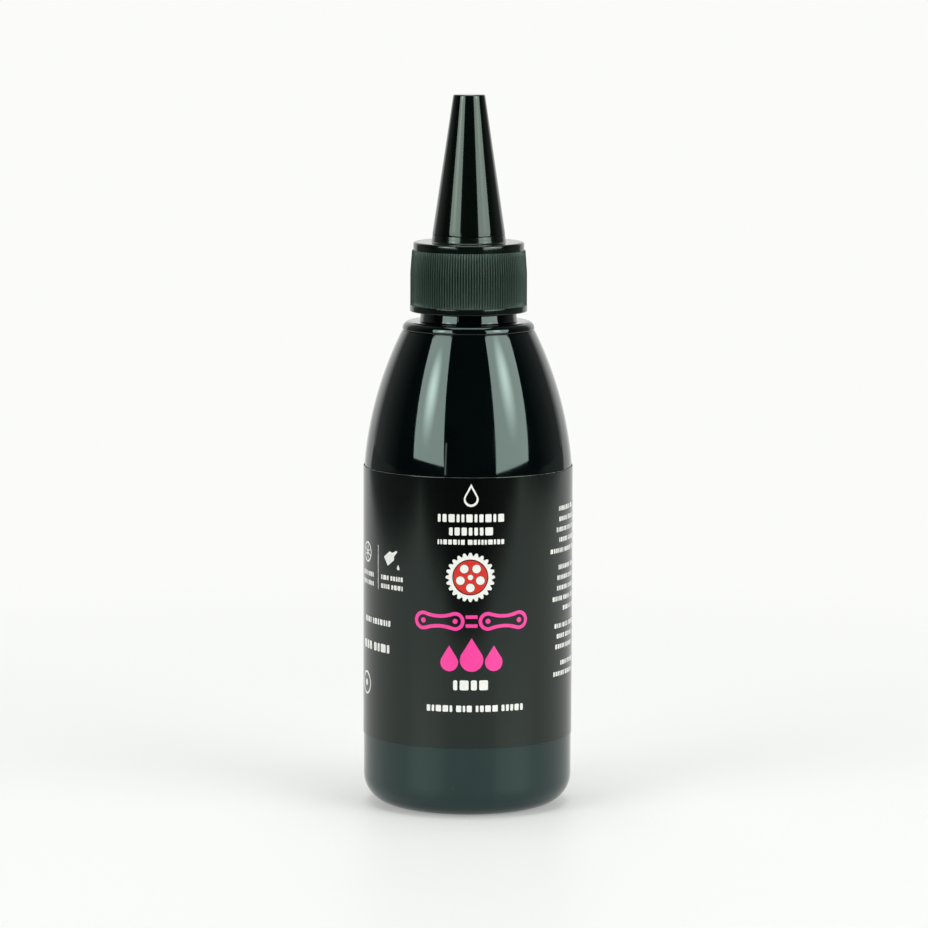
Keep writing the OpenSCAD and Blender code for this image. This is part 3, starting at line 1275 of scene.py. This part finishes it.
    def small_print(self, chance: random.Random) -> list[list[Outline]]:
        """Draws the centred groups of fine rows on the right.

        Args:
            chance: source of the rows' lengths.

        Returns:
            The blocks.
        """
        middle, line_gap, paragraph_gap = 33.0, 2.12, 1.3
        height = 61.6
        shapes = []
        for lines in (5, 5, 3, 2):
            for _ in range(lines):
                width = chance.uniform(18, 28)
                shapes += self.block_row(middle, height, width, 0.95, round(width / 4.4), chance)
                height -= line_gap
            height -= paragraph_gap
        return shapes

    def chainring(self) -> tuple[list[list[Outline]], list[Outline]]:
        """Draws the badge: a white toothed ring, and a red disc with white spots between its arms.

        Returns:
            The white shapes, and the red one.
        """
        centre = (0.51, 49.13)
        spots = [
            (centre[0] + 2.1 * math.sin(t), centre[1] + 2.1 * math.cos(t))
            for t in (2 * math.pi * (i + 0.5) / 5 for i in range(5))
        ]
        ring = [toothed(centre, 4.95, 4.3, 24), oval(centre, 3.62, 60)]
        white = [ring, *([oval(spot, 0.86)] for spot in spots), [oval(centre, 0.55, 24)]]
        return white, [oval(centre, 3.42, 60), *(oval(spot, 0.92) for spot in spots), oval(centre, 0.61, 24)]

    def link_row(self) -> list[list[Outline]]:
        """Draws three links of a chain: two outer ones and an inner one between them.

        Returns:
            The shapes.
        """
        pitch, end_r, stroke, gap = 6.6, 1.9, 0.72, 0.2
        middle = (0.78, 40.25)
        shapes = []
        for side in (-1, 1):
            x = middle[0] + side * pitch
            inner = link_plate((x, middle[1]), pitch, end_r - stroke, 1.35 - stroke)
            shapes.append([link_plate((x, middle[1]), pitch, end_r, 1.35), inner])
            shapes += [[oval((x + pin * pitch / 2, middle[1]), 0.52)] for pin in (-1, 1)]
        half = pitch / 2 - end_r - gap
        for low, high in ((0.55, 1.25), (-1.25, -0.55)):
            shapes.append([bar(middle[0] - half, middle[0] + half, middle[1] + low, middle[1] + high, 0.12)])
        return shapes

    def three_drops(self) -> list[list[Outline]]:
        """Returns three drops in a row, the middle one the largest."""
        x, z = 0.8, 33.5
        return [[drop((x, z), 4.7, 6.8)], *([drop((x + side * 4.5, z - 0.75), 3.6, 5.2)] for side in (-1, 1))]

    def build(self) -> list[bpy.types.Object]:
        """Makes one thin mesh for each ink and returns the objects."""
        return [self.printed(ink, shapes) for ink, shapes in self.shapes().items()]

    def printed(self, ink: Ink, shapes: list[list[Outline]]) -> bpy.types.Object:
        """Makes the layer of one ink, wrapped round the label.

        Args:
            ink: the ink.
            shapes: its outlines, each with its holes.

        Returns:
            The layer's object.
        """
        flat = bmesh.new()
        for outlines in shapes:
            loops = [[Vector((x, z, 0)) for x, z in outline] for outline in outlines]
            corners = [flat.verts.new(p) for loop in loops for p in loop]
            for triangle in tessellate_polygon(loops):
                flat.faces.new([corners[i] for i in triangle])
        bmesh.ops.recalc_face_normals(flat, faces=flat.faces)
        reach = max(abs(v.co.x) for v in flat.verts)
        for i in range(-int(reach / self.widest_facet), int(reach / self.widest_facet) + 1):
            bmesh.ops.bisect_plane(
                flat,
                geom=flat.verts[:] + flat.edges[:] + flat.faces[:],
                dist=1e-5,
                plane_co=(i * self.widest_facet, 0, 0),
                plane_no=(1, 0, 0),
            )
        skin = Skin()
        flat.verts.index_update()
        count = len(flat.verts)
        borders = {frozenset(v.index for v in e.verts) for e in flat.edges if len(e.link_faces) == 1}
        for radius in (self.label.radius + self.ink, self.label.radius - self.sunk):
            skin.points += [self.wrapped(v.co.x, v.co.y, radius) for v in flat.verts]
        for face in flat.faces:
            numbers = [v.index for v in face.verts]
            numbers = numbers if face.normal.z > 0 else numbers[::-1]
            skin.face(*numbers)
            skin.face(*(n + count for n in reversed(numbers)))
            for a, b in zip(numbers, numbers[1:] + numbers[:1]):
                if frozenset((a, b)) in borders:
                    skin.face(b, a, a + count, b + count)
        flat.free()
        return skin.piece("print_" + ink.name.lower(), [ink.value], 30)

    @staticmethod
    def wrapped(across: float, z: float, radius: float) -> tuple[float, float, float]:
        """Returns where a spot of the flat print lies once it is wrapped, with its middle at the front."""
        turn = across / radius
        return (radius * math.sin(turn), -radius * math.cos(turn), z)

    def dress(self, layers: list[bpy.types.Object]) -> None:
        """Sets the inks on the bottle's body.

        Args:
            layers: the inks' objects.
        """
        for layer in layers:
            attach(layer, "bottle")


@dataclass
class ScrewCap:
    """The screw cap: a ribbed grip with an inner thread, and the spout that stands on it."""

    bottle: Bottle
    outer_d: float = 23.75
    top_d: float = 22.4
    gap: float = 2.0
    top_t: float = 1.35
    low_band_h: float = 1.3
    top_band_h: float = 1.65
    ribs: int = 132
    rib_depth: float = 0.25
    rib_inset: float = 0.08
    rib_lean: float = 0.35
    washer_t: float = 0.95
    thread_gap: float = 0.25
    boss_d: float = 15.05
    boss_h: float = 1.4
    boss_draft: float = 0.2
    seat_d: float = 11.8
    seat_h: float = 2.6
    spout_d: float = 9.4
    tip_d: float = 3.1
    spout_h: float = 24.2
    channel_d: float = 7.2
    orifice_d: float = 1.5
    orifice_l: float = 3.6
    grip_curve_r: float = 170.0
    grip_curve_drop: float = 15.0
    rib_roundness: float = 0.75
    band_edge_r: float = 0.15
    top_edge_r: float = 0.45
    boss_foot_r: float = 0.3
    boss_edge_r: float = 0.1
    seat_edge_r: float = 0.4
    spout_foot_r: float = 0.25
    tip_h: float = 0.3
    tip_edge_r: float = 0.28
    tip_foot_r: float = 0.6
    orifice_edge_r: float = 0.1
    funnel: float = 0.25
    lead_in: float = 0.5
    crest_share: float = 0.6
    rib_run_out: float = 0.12
    rib_end_share: float = 0.6
    rib_rows: int = 12
    low_row: float = 0.4
    top_row: float = 0.6
    channel_row: float = 1.2
    thread_row: float = 0.16
    samples_per_rib: int = 8
    sides_per_rib: int = 2

    @property
    def foot_z(self) -> float:
        """Height of the cap's lower edge."""
        return self.bottle.rim_top_z + self.gap

    @property
    def roof_z(self) -> float:
        """Height of the face that presses the washer down."""
        return self.bottle.lip_z + self.washer_t

    @property
    def top_z(self) -> float:
        """Height of the cap's top face."""
        return self.roof_z + self.top_t

    @property
    def boss_z(self) -> float:
        """Height of the boss that the overcap stands on."""
        return self.top_z + self.boss_h

    @property
    def tip_z(self) -> float:
        """Height of the spout's tip."""
        return self.boss_z + self.spout_h

    @property
    def bore_r(self) -> float:
        """Radius inside the skirt."""
        return max(self.bottle.thread_d, self.bottle.heel_d) / 2 + self.thread_gap

    @property
    def rib_span(self) -> Point:
        """Lowest and highest point of the ribs."""
        return (self.foot_z + self.low_band_h, self.top_z - self.top_band_h)

    def grip_radius(self, z: float) -> float:
        """Works out the radius over the ribs: upright below, leaning in on a long arc above.

        Args:
            z: the height.

        Returns:
            The radius at that height.
        """
        low_r = self.outer_d / 2 - self.rib_inset
        centre_z = self.rib_span[1] - self.grip_curve_drop
        centre_x = low_r - self.rib_lean - math.sqrt(self.grip_curve_r**2 - self.grip_curve_drop**2)
        return min(low_r, centre_x + math.sqrt(self.grip_curve_r**2 - (z - centre_z) ** 2))

    def rib_radii(self, angles: np.ndarray, z: float) -> np.ndarray:
        """Works out the ribbed wall.

        Args:
            angles: the angles in radians.
            z: the height.

        Returns:
            The radius at each angle.
        """
        low, high = self.rib_span
        low_r = self.outer_d / 2 - self.rib_inset
        root = low_r - self.rib_depth - self.rib_lean * (z - low) / (high - low)
        crest = self.grip_radius(z)
        # Each rib is half round, so that it catches light from a wide arc of the room
        round_rib = np.abs(np.sin(angles * self.ribs / 2)) ** self.rib_roundness
        return root + (crest - root) * round_rib

    def lower_outline(self) -> Outline:
        """Draws the bottom band, from the lead-in of the bore to the ribs.

        Returns:
            The outline.
        """
        corners = [
            (self.bore_r + self.lead_in, self.foot_z, 0),
            (self.outer_d / 2, self.foot_z, self.band_edge_r),
            (self.outer_d / 2, self.rib_span[0], self.band_edge_r),
            (self.grip_radius(self.rib_span[0]), self.rib_span[0] - 0.01, 0),
        ]
        return refined(rounded_path(corners, 5), self.low_row)

    def upper_outline(self) -> Outline:
        """Draws the way from the ribs over the top band, boss, seat and spout, and down its channel.

        Returns:
            The outline.
        """
        top_r, boss_r, seat_r = self.top_d / 2, self.boss_d / 2, self.seat_d / 2
        slope = (self.spout_d - self.tip_d) / 2 / (self.spout_h - self.tip_h)
        seat_top = self.boss_z + self.seat_h
        corners = [
            (top_r, self.rib_span[1] + 0.03, 0),
            (top_r, self.top_z, self.top_edge_r),
            (boss_r, self.top_z, self.boss_foot_r),
            (boss_r - self.boss_draft, self.boss_z, self.boss_edge_r),
            (seat_r, self.boss_z, self.boss_edge_r),
            (seat_r, seat_top, self.seat_edge_r),
            (self.spout_d / 2 - slope * self.seat_h, seat_top, self.spout_foot_r),
            (self.tip_d / 2, self.tip_z - self.tip_h, self.tip_foot_r),
            (self.tip_d / 2, self.tip_z, self.tip_edge_r),
            (self.orifice_d / 2, self.tip_z, self.orifice_edge_r),
        ]
        return refined(rounded_path(corners, 5), self.top_row) + self.channel_outline()

    def channel_outline(self) -> Outline:
        """Draws the way for the lube, from the tip down to the cap's roof.

        Returns:
            The outline.
        """
        hole_z = self.tip_z - self.orifice_l
        corners = [
            (self.orifice_d / 2, self.tip_z - self.tip_h),
            (self.orifice_d / 2, hole_z),
            (self.orifice_d / 2 + self.funnel, hole_z - self.funnel),
            (self.channel_d / 2, self.top_z),
            (self.channel_d / 2, self.roof_z),
            (self.bore_r, self.roof_z),
        ]
        return refined(corners, self.channel_row)

    def thread(self) -> ScrewRidge:
        """Works out the ridge inside the skirt, which lies in the groove of the neck's thread.

        Returns:
            The ridge.
        """
        neck = self.bottle
        slope = (neck.thread_root_w - neck.thread_crest_w) / (neck.thread_d - neck.neck_d) * 2
        male_w = neck.thread_root_w - slope * self.thread_gap
        crest_w = self.crest_share * (neck.pitch - male_w - 2 * self.thread_gap)
        height = self.bore_r - neck.neck_d / 2 - self.thread_gap
        drop = (male_w + crest_w) / 2 + self.thread_gap
        rise = neck.pitch * neck.turns
        root_w = crest_w + slope * height
        return ScrewRidge(neck.thread_foot_z - drop, rise, neck.turns, height, root_w, crest_w)

    def build(self) -> bpy.types.Object:
        """Makes the cap's mesh.

        Returns:
            Its object.
        """
        skin = Skin()
        coarse = even_angles(self.ribs * self.sides_per_rib)
        fine = even_angles(self.ribs * self.samples_per_rib)
        low, high = self.rib_span
        band = [skin.ring(coarse, r, z) for r, z in self.lower_outline()]
        grip = [skin.ring(fine, self.grip_radius(low), low)]
        for i in range(self.rib_rows + 1):
            z = low + self.rib_run_out + (high - low - 2 * self.rib_run_out) * i / self.rib_rows
            grip.append(skin.ring(fine, self.rib_radii(fine, z), z))
        past_band = self.rib_radii(fine, high) - self.top_d / 2
        grip.append(skin.ring(fine, self.top_d / 2 + self.rib_end_share * past_band, high))
        grip.append(skin.ring(fine, self.top_d / 2, high + 0.02))
        top = [skin.ring(coarse, r, z) for r, z in self.upper_outline()]
        thread = self.thread()
        skirt = [(self.bore_r, self.roof_z), (self.bore_r, self.foot_z + self.lead_in)]
        rows = refined(skirt, self.thread_row)
        for r, z in rows[1:]:
            top.append(skin.ring(coarse, r - thread.stands_out(coarse, z), z))
        skin.loft(grip, finish=1)
        skin.loft(band + grip[:1])
        skin.loft(grip[-1:] + top + band[:1])
        return skin.piece("cap_and_spout", [CAP_FINISH, GRIP_FINISH], 40)

    def dress(self, cap: bpy.types.Object) -> None:
        """Sets the cap on its body in place of its plain solid.

        Args:
            cap: the cap's object.
        """
        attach(cap, "cap")
        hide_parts("screw_cap")


@dataclass
class SealingWasher:
    """The foam washer between the lip and the cap's roof, with the lip's mark pressed into it."""

    cap: ScrewCap
    hole_d: float = 9.0
    mark_depth: float = 0.06
    mark_edge: float = 0.3
    hole_edge_r: float = 0.12
    rim_edge_r: float = 0.15
    row: float = 0.35
    sides: int = 192

    def build(self) -> bpy.types.Object:
        """Makes the washer's mesh.

        Returns:
            Its object.
        """
        skin, angles = Skin(), even_angles(self.sides)
        outer_r = self.cap.bore_r - 2 * self.cap.thread_gap
        low, high = self.cap.bottle.lip_z, self.cap.roof_z
        corners = [
            (self.hole_d / 2, low, self.hole_edge_r),
            (outer_r, low, self.rim_edge_r),
            (outer_r, high, self.rim_edge_r),
            (self.hole_d / 2, high, self.hole_edge_r),
        ]
        start = (self.hole_d / 2, (low + high) / 2)
        outline = refined(rounded_path([(*start, 0), *corners, (*start, 0)], 4), self.row)[:-1]
        inner_lip, outer_lip = self.cap.bottle.bore_d / 2, self.cap.bottle.neck_d / 2
        rings = []
        for r, z in outline:
            inside = smooth_step(inner_lip - self.mark_edge, inner_lip, r)
            pressed = inside * (1 - smooth_step(outer_lip, outer_lip + self.mark_edge, r))
            beside = self.mark_depth * (1 - pressed) if z > low + 0.5 * (high - low) else 0.0
            rings.append(skin.ring(angles, r, z - beside))
        skin.loft(rings + rings[:1])
        return skin.piece("foam_washer", [WASHER_FINISH])

    def dress(self, washer: bpy.types.Object) -> None:
        """Sets the washer on its body in place of its plain solid.

        Args:
            washer: the washer's object.
        """
        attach(washer, "washer")
        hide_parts("sealing_washer")


@dataclass
class Overcap:
    """The tall conical overcap, hollow, with the pin that plugs the spout's hole."""

    cap: ScrewCap
    foot_d: float = 14.76
    tip_d: float = 6.4
    height: float = 28.25
    edge_r: float = 0.35
    end_t: float = 1.5
    slip: float = 0.05
    pin_reach: float = 2.2
    rest_gap: float = 0.01
    seat_room: float = 0.4
    tip_room: float = 0.3
    tip_wall_share: float = 0.75
    pin_edge_r: float = 0.2
    pin_foot_r: float = 0.05
    post_edge_r: float = 0.1
    roof_corner_r: float = 0.15
    bore_end_r: float = 0.6
    foot_in_r: float = 0.05
    foot_out_r: float = 0.12
    row: float = 0.9
    sides: int = 224

    def build(self) -> bpy.types.Object:
        """Makes the overcap's mesh.

        Returns:
            Its object.
        """
        skin, angles = Skin(), even_angles(self.sides)
        foot, top = self.cap.boss_z + self.rest_gap, self.cap.boss_z + self.height
        bore_r = self.cap.seat_d / 2 + self.slip
        wall = self.foot_d / 2 - bore_r
        roof = top - self.end_t
        pin_r = self.cap.orifice_d / 2 - self.slip
        tip_bore_r = self.tip_d / 2 - wall * self.tip_wall_share
        seat_top = foot + self.cap.seat_h + self.seat_room
        pin_z, pin_top = self.cap.tip_z - self.pin_reach, self.cap.tip_z + self.tip_room
        corners = [
            (0, pin_z, 0),
            (pin_r, pin_z, self.pin_edge_r),
            (pin_r, pin_top, self.pin_foot_r),
            (2 * pin_r, pin_top, self.post_edge_r),
            (2 * pin_r, roof, self.roof_corner_r),
            (tip_bore_r, roof, self.roof_corner_r),
            (bore_r, seat_top, self.bore_end_r),
            (bore_r, foot, self.foot_in_r),
            (self.foot_d / 2, foot, self.foot_out_r),
            (self.tip_d / 2, top, self.edge_r),
            (0, top, 0),
        ]
        # The path runs from the pin up to the roof, down the inside, and up the outside to the tip
        outline = refined(rounded_path(corners, 5), self.row)
        skin.loft([skin.ring(angles, r, z) for r, z in outline])
        return skin.piece("cone_overcap", [OVERCAP_FINISH])

    def dress(self, overcap: bpy.types.Object) -> None:
        """Sets the overcap on its body in place of its plain solid.

        Args:
            overcap: the overcap's object.
        """
        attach(overcap, "overcap")
        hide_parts("overcap")


# The studio


def flat_sheet(name: str, corners: Outline, material: bpy.types.Material) -> bpy.types.Object:
    """Makes a flat sheet of one face.

    Args:
        name: the sheet's name.
        corners: its four corners in its own plane.
        material: its material.

    Returns:
        The sheet's object, linked to the scene.
    """
    mesh = bpy.data.meshes.new(name)
    mesh.from_pydata([(x * MM, y * MM, 0) for x, y in corners], [], [(0, 1, 2, 3)])
    mesh.materials.append(material)
    sheet = bpy.data.objects.new(name, mesh)
    bpy.context.scene.collection.objects.link(sheet)
    return sheet


def rectangle(half_w: float, half_l: float) -> Outline:
    """Returns the corners of a rectangle round the middle."""
    return [(-half_w, -half_l), (half_w, -half_l), (half_w, half_l), (-half_w, half_l)]


@dataclass(kw_only=True)
class Panel:
    """A soft light panel: reflections see its cloth, and matt surfaces get a plain even glow."""

    name: str
    core: Point = (0.0, 0.0)
    core_spread: Point = (200.0, 200.0)
    core_reach: float = 1.8
    core_strength: float = 0.5
    cloth_strength: float = 5.5
    fill_strength: float = 3.7

    def outline(self) -> Outline:
        """Returns the panel's corners in its own plane."""
        raise NotImplementedError

    def place(self) -> Matrix:
        """Returns where the panel's plane lies."""
        raise NotImplementedError

    def build(self) -> None:
        """Makes the panel that reflections see, and the plain one that lights matt surfaces."""
        cloth = self.panel(self.name + "_cloth", self.cloth())
        cloth.visible_diffuse = False
        fill = self.panel(self.name + "_fill", self.fill())
        fill.visible_glossy = False

    def panel(self, name: str, material: bpy.types.Material) -> bpy.types.Object:
        """Makes one glowing panel, hidden from the camera.

        Args:
            name: the panel's name.
            material: its glow.

        Returns:
            The panel's object.
        """
        panel = flat_sheet(name, self.outline(), material)
        panel.matrix_world = self.place()
        panel.visible_camera = False
        panel.visible_shadow = False
        return panel

    def cloth(self) -> bpy.types.Material:
        """Makes the panel's glow: even cloth, with the lamp behind it as a soft bright core.

        Returns:
            The glowing material.
        """
        material, tree = empty_material(self.name + "_cloth")
        place = add_node(tree, "TexCoord").outputs["Object"]
        reach = self.core_reach * MM
        scale = (1 / (self.core_spread[0] * reach), 1 / (self.core_spread[1] * reach), 1)
        shift = (-self.core[0] * MM * scale[0], -self.core[1] * MM * scale[1], 0)
        spread = add_node(tree, "Mapping", {"Scale": scale, "Location": shift}, {"Vector": place})
        away = add_node(tree, "VectorMath", {"operation": "LENGTH"}, {0: spread})
        levels = spans((0.0, 1.0), (self.cloth_strength + self.core_strength, self.cloth_strength))
        smooth = {"interpolation_type": "SMOOTHSTEP", **levels}
        glow = add_node(tree, "MapRange", smooth, {0: away.outputs["Value"]})
        light = add_node(tree, "Emission", {"Color": linear("#fbfffb")}, {"Strength": glow})
        add_node(tree, "OutputMaterial", None, {0: light})
        return material

    def fill(self) -> bpy.types.Material:
        """Makes the even glow that lights matt surfaces at a plain level.

        Returns:
            The glowing material.
        """
        material, tree = empty_material(self.name + "_fill")
        light = add_node(tree, "Emission", {"Color": linear("#fdfffd"), "Strength": self.fill_strength})
        add_node(tree, "OutputMaterial", None, {0: light})
        return material


@dataclass(kw_only=True)
class Softbox(Panel):
    """A tall softbox on a stand, given by the directions in which the bottle's shoulder sees it."""

    azimuth_deg: float
    corners_deg: Sequence[Point]
    distance: float = 1200.0
    aim_z: float = 80.0

    def outline(self) -> Outline:
        """Works out the corners: each is where its direction from the shoulder meets the upright plane.

        Returns:
            The corners, in the softbox's own plane.
        """
        corners = []
        for azimuth_deg, elevation_deg in self.corners_deg:
            turn = math.radians(azimuth_deg - self.azimuth_deg)
            rise = math.tan(math.radians(elevation_deg)) / math.cos(turn)
            corners.append((self.distance * math.tan(turn), self.distance * rise))
        return corners

    def place(self) -> Matrix:
        """Works out the upright plane that faces the shoulder from the softbox's side.

        Returns:
            Where it lies.
        """
        azimuth = math.radians(self.azimuth_deg)
        away = Vector((math.sin(azimuth), -math.cos(azimuth), 0))
        along = Vector((math.cos(azimuth), math.sin(azimuth), 0))
        turned = Matrix((along, (0, 0, 1), away)).transposed().to_4x4()
        return Matrix.Translation((away * self.distance + Vector((0, 0, self.aim_z))) * MM) @ turned


@dataclass(kw_only=True)
class OverheadPanel(Panel):
    """A level panel above the bottle, which lights the rims' upper edges and the paper."""

    size: Point = (800.0, 700.0)
    height: float = 1280.0

    def outline(self) -> Outline:
        """Returns the corners of a plain rectangle."""
        return rectangle(self.size[0] / 2, self.size[1] / 2)

    def place(self) -> Matrix:
        """Returns the level plane over the bottle."""
        return Matrix.Translation((0, 0, self.height * MM))


SOFTBOXES = (
    Softbox(
        name="softbox_left",
        azimuth_deg=-49.5,
        corners_deg=((-72.7, 37.4), (-34.3, 44.7), (-26.8, 3.4), (-63.4, 4.7)),
        core=(-20, 600),
        core_spread=(130, 250),
        core_strength=10.0,
    ),
    Softbox(
        name="softbox_right",
        azimuth_deg=54.0,
        corners_deg=((34.3, 44.7), (83.0, 34.5), (70.6, 3.1), (30.9, 0.4)),
        core=(10, 690),
        core_spread=(150, 290),
        core_strength=9.0,
    ),
    Softbox(
        name="softbox_stand",
        azimuth_deg=-25.0,
        corners_deg=((-25.9, 12.0), (-24.3, 12.0), (-24.0, 0.0), (-25.9, 0.0)),
        core_strength=0.0,
        cloth_strength=2.0,
        fill_strength=0.0,
    ),
    OverheadPanel(name="softbox_top", cloth_strength=3.5, fill_strength=5.3),
)


@dataclass
class Studio:
    """The plain pale floor, the room's soft light, the two softboxes and the camera."""

    floor_reach: float = 9000.0
    sheet_front: float = 300.0
    sheet_side: float = 440.0
    sheet_shift: float = 55.0
    edge_blur: float = 30.0
    paper_hex: str = "#f1f2f0"
    white_hex: str = "#fbfcfa"
    dim_hex: str = "#f4fff8"
    paper_roughness: float = 0.45
    paper_ior: float = 1.3
    painted_glow_reach: Point = (40.0, 300.0)
    painted_glow_share: Point = (0.3, 1.0)
    dim_reach: Point = (-400.0, 400.0)
    dim_level: Point = (0.03, 0.2)
    sweep: tuple[Point, Point] = ((0.6, 0.8), (0, 1.1))
    room_depth: tuple[Point, Point] = ((-0.1, 0.5), (0.05, 1))
    room_sides: tuple[Point, Point] = ((-0.5, 0.5), (0.24, 0.18))
    tripod_y: float = 430.0
    tripod_r: float = 190.0
    camera_d: float = 950.0
    camera_h: float = 189.55
    camera_x: float = -0.83
    pitch_deg: float = 7.22
    roll_deg: float = 0.17
    focal_px: float = 4719.0
    frame_px: float = 928.0
    sensor: float = 36.0

    def build(self) -> None:
        """Makes everything that isn't part of the bottle."""
        self.floor()
        self.room()
        for softbox in SOFTBOXES:
            softbox.build()
        self.camera()
        bpy.context.scene.view_settings.view_transform = "Standard"

    def floor(self) -> None:
        """Makes the sheet of paper that the bottle stands on, which fades into the white far off."""
        material, tree = empty_material("paper_floor")
        place = add_node(tree, "TexCoord").outputs["Object"]
        away = add_node(tree, "VectorMath", {"operation": "LENGTH"}, {0: place}).outputs["Value"]
        colour = linear(self.paper_hex)
        sheet = {"Base Color": colour, "Roughness": self.paper_roughness, "IOR": self.paper_ior}
        paper = add_node(tree, "BsdfPrincipled", sheet)
        white = add_node(tree, "Emission", {"Color": linear(self.white_hex), "Strength": 1.0})
        # Painted light: a white glow is mixed into the paper, three tenths of it near the bottle and all of
        # it far off, so that the shadows on it stay pale
        near, far = self.painted_glow_reach
        glow = add_node(tree, "MapRange", spans((near * MM, far * MM), self.painted_glow_share), {0: away})
        seen = add_node(tree, "MixShader", None, {0: glow, 1: paper, 2: white})
        depth = add_node(tree, "SeparateXYZ", None, {0: place}).outputs["Y"]
        front, back = self.dim_reach
        dim = add_node(tree, "MapRange", spans((front * MM, back * MM), self.dim_level), {0: depth})
        dark = add_node(tree, "Emission", {"Color": linear(self.dim_hex)}, {"Strength": dim})
        rays = add_node(tree, "LightPath").outputs["Is Camera Ray"]
        unseen = add_node(tree, "Math", {"operation": "SUBTRACT", 0: 1.0}, {1: rays})
        beyond = self.beyond_sheet(tree, place)
        hidden = add_node(tree, "Math", {"operation": "MULTIPLY"}, {0: beyond, 1: unseen})
        mixed = add_node(tree, "MixShader", None, {0: hidden, 1: seen, 2: dark})
        add_node(tree, "OutputMaterial", None, {0: mixed})
        floor = flat_sheet("floor", rectangle(self.floor_reach, self.floor_reach), material)

    def beyond_sheet(self, tree: Tree, place: Source) -> Source:
        """Adds where reflections see the sheet end, with the dim room beyond, and the camera's dark tripod.

        Args:
            tree: the node tree that gets it.
            place: where the point lies.

        Returns:
            A value that is one off the sheet and on the tripod.
        """
        split = add_node(tree, "SeparateXYZ", None, {0: place}).outputs
        soft, front, side = self.edge_blur * MM, self.sheet_front * MM, self.sheet_side * MM
        ahead = add_node(tree, "MapRange", spans((-front - soft, -front + soft), (1, 0)), {0: split["Y"]})
        centred = {"operation": "SUBTRACT", 1: self.sheet_shift * MM}
        moved = add_node(tree, "Math", centred, {0: split["X"]})
        across = add_node(tree, "Math", {"operation": "ABSOLUTE"}, {0: moved})
        beside = add_node(tree, "MapRange", spans((side - soft, side + soft), (0, 1)), {0: across})
        back = add_node(tree, "Math", {"operation": "SUBTRACT"}, {0: split["Y"], 1: across})
        not_back = add_node(tree, "MapRange", spans((-2 * soft, 2 * soft), (1, 0)), {0: back})
        aside = add_node(tree, "Math", {"operation": "MULTIPLY"}, {0: beside, 1: not_back})
        edges = add_node(tree, "Math", {"operation": "MAXIMUM"}, {0: ahead, 1: aside})
        stand = {"operation": "DISTANCE", 1: (0, -self.tripod_y * MM, 0)}
        near = add_node(tree, "VectorMath", stand, {0: place}).outputs["Value"]
        foot = self.tripod_r * MM
        tripod = add_node(tree, "MapRange", spans((foot - soft, foot + soft), (1, 0)), {0: near})
        return add_node(tree, "Math", {"operation": "MAXIMUM"}, {0: edges, 1: tripod})

    def room(self) -> None:
        """Lights the world: white to the camera, a white sweep behind the bottle and a dim room in front."""
        world = bpy.data.worlds.new("studio_room")
        bpy.context.scene.world = world
        world.use_nodes = True
        tree = world.node_tree
        tree.nodes.clear()
        place = add_node(tree, "TexCoord").outputs["Generated"]
        split = add_node(tree, "SeparateXYZ", None, {0: place}).outputs
        behind = add_node(tree, "MapRange", spans(*self.sweep), {0: split["Y"]})
        depth = add_node(tree, "MapRange", spans(*self.room_depth), {0: split["Y"]})
        hand = add_node(tree, "MapRange", spans(*self.room_sides), {0: split["X"]})
        side = add_node(tree, "Math", {"operation": "MULTIPLY"}, {0: depth, 1: hand})
        level = add_node(tree, "Math", {"operation": "MAXIMUM"}, {0: behind, 1: side})
        rays = add_node(tree, "LightPath").outputs["Is Camera Ray"]
        shown = add_node(tree, "Math", {"operation": "MAXIMUM"}, {0: level, 1: rays})
        sky = add_node(tree, "Background", {"Color": linear(self.white_hex)}, {"Strength": shown})
        add_node(tree, "OutputWorld", None, {0: sky})

    def camera(self) -> None:
        """Makes the camera at the picture's angle, and makes it the scene's."""
        data = bpy.data.cameras.new("camera")
        data.sensor_width = self.sensor
        data.lens = self.focal_px / self.frame_px * self.sensor
        camera = bpy.data.objects.new("camera", data)
        tilt = Matrix.Rotation(math.radians(90 - self.pitch_deg), 4, "X")
        roll = Matrix.Rotation(math.radians(self.roll_deg), 4, "Z")
        spot = Matrix.Translation((self.camera_x * MM, -self.camera_d * MM, self.camera_h * MM))
        camera.matrix_world = spot @ tilt @ roll
        bpy.context.scene.collection.objects.link(camera)
        bpy.context.scene.camera = camera


def main() -> None:
    """Builds and dresses every piece in order."""
    logging.basicConfig(level=logging.INFO, format="%(name)s: %(message)s")
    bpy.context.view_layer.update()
    bottle = Bottle()
    label = Label(bottle.radius, bottle.side_h)
    cap = ScrewCap(bottle)
    parts = (bottle, label, Artwork(label), SealingWasher(cap), cap, Overcap(cap))
    for part in parts:
        made = part.build()
        part.dress(made)
        for piece in made if isinstance(made, list) else [made]:
            LOG.info("%s: %d faces", piece.name, len(piece.data.polygons))
    Studio().build()
    bpy.context.view_layer.update()


if __name__ == "__main__":
    main()
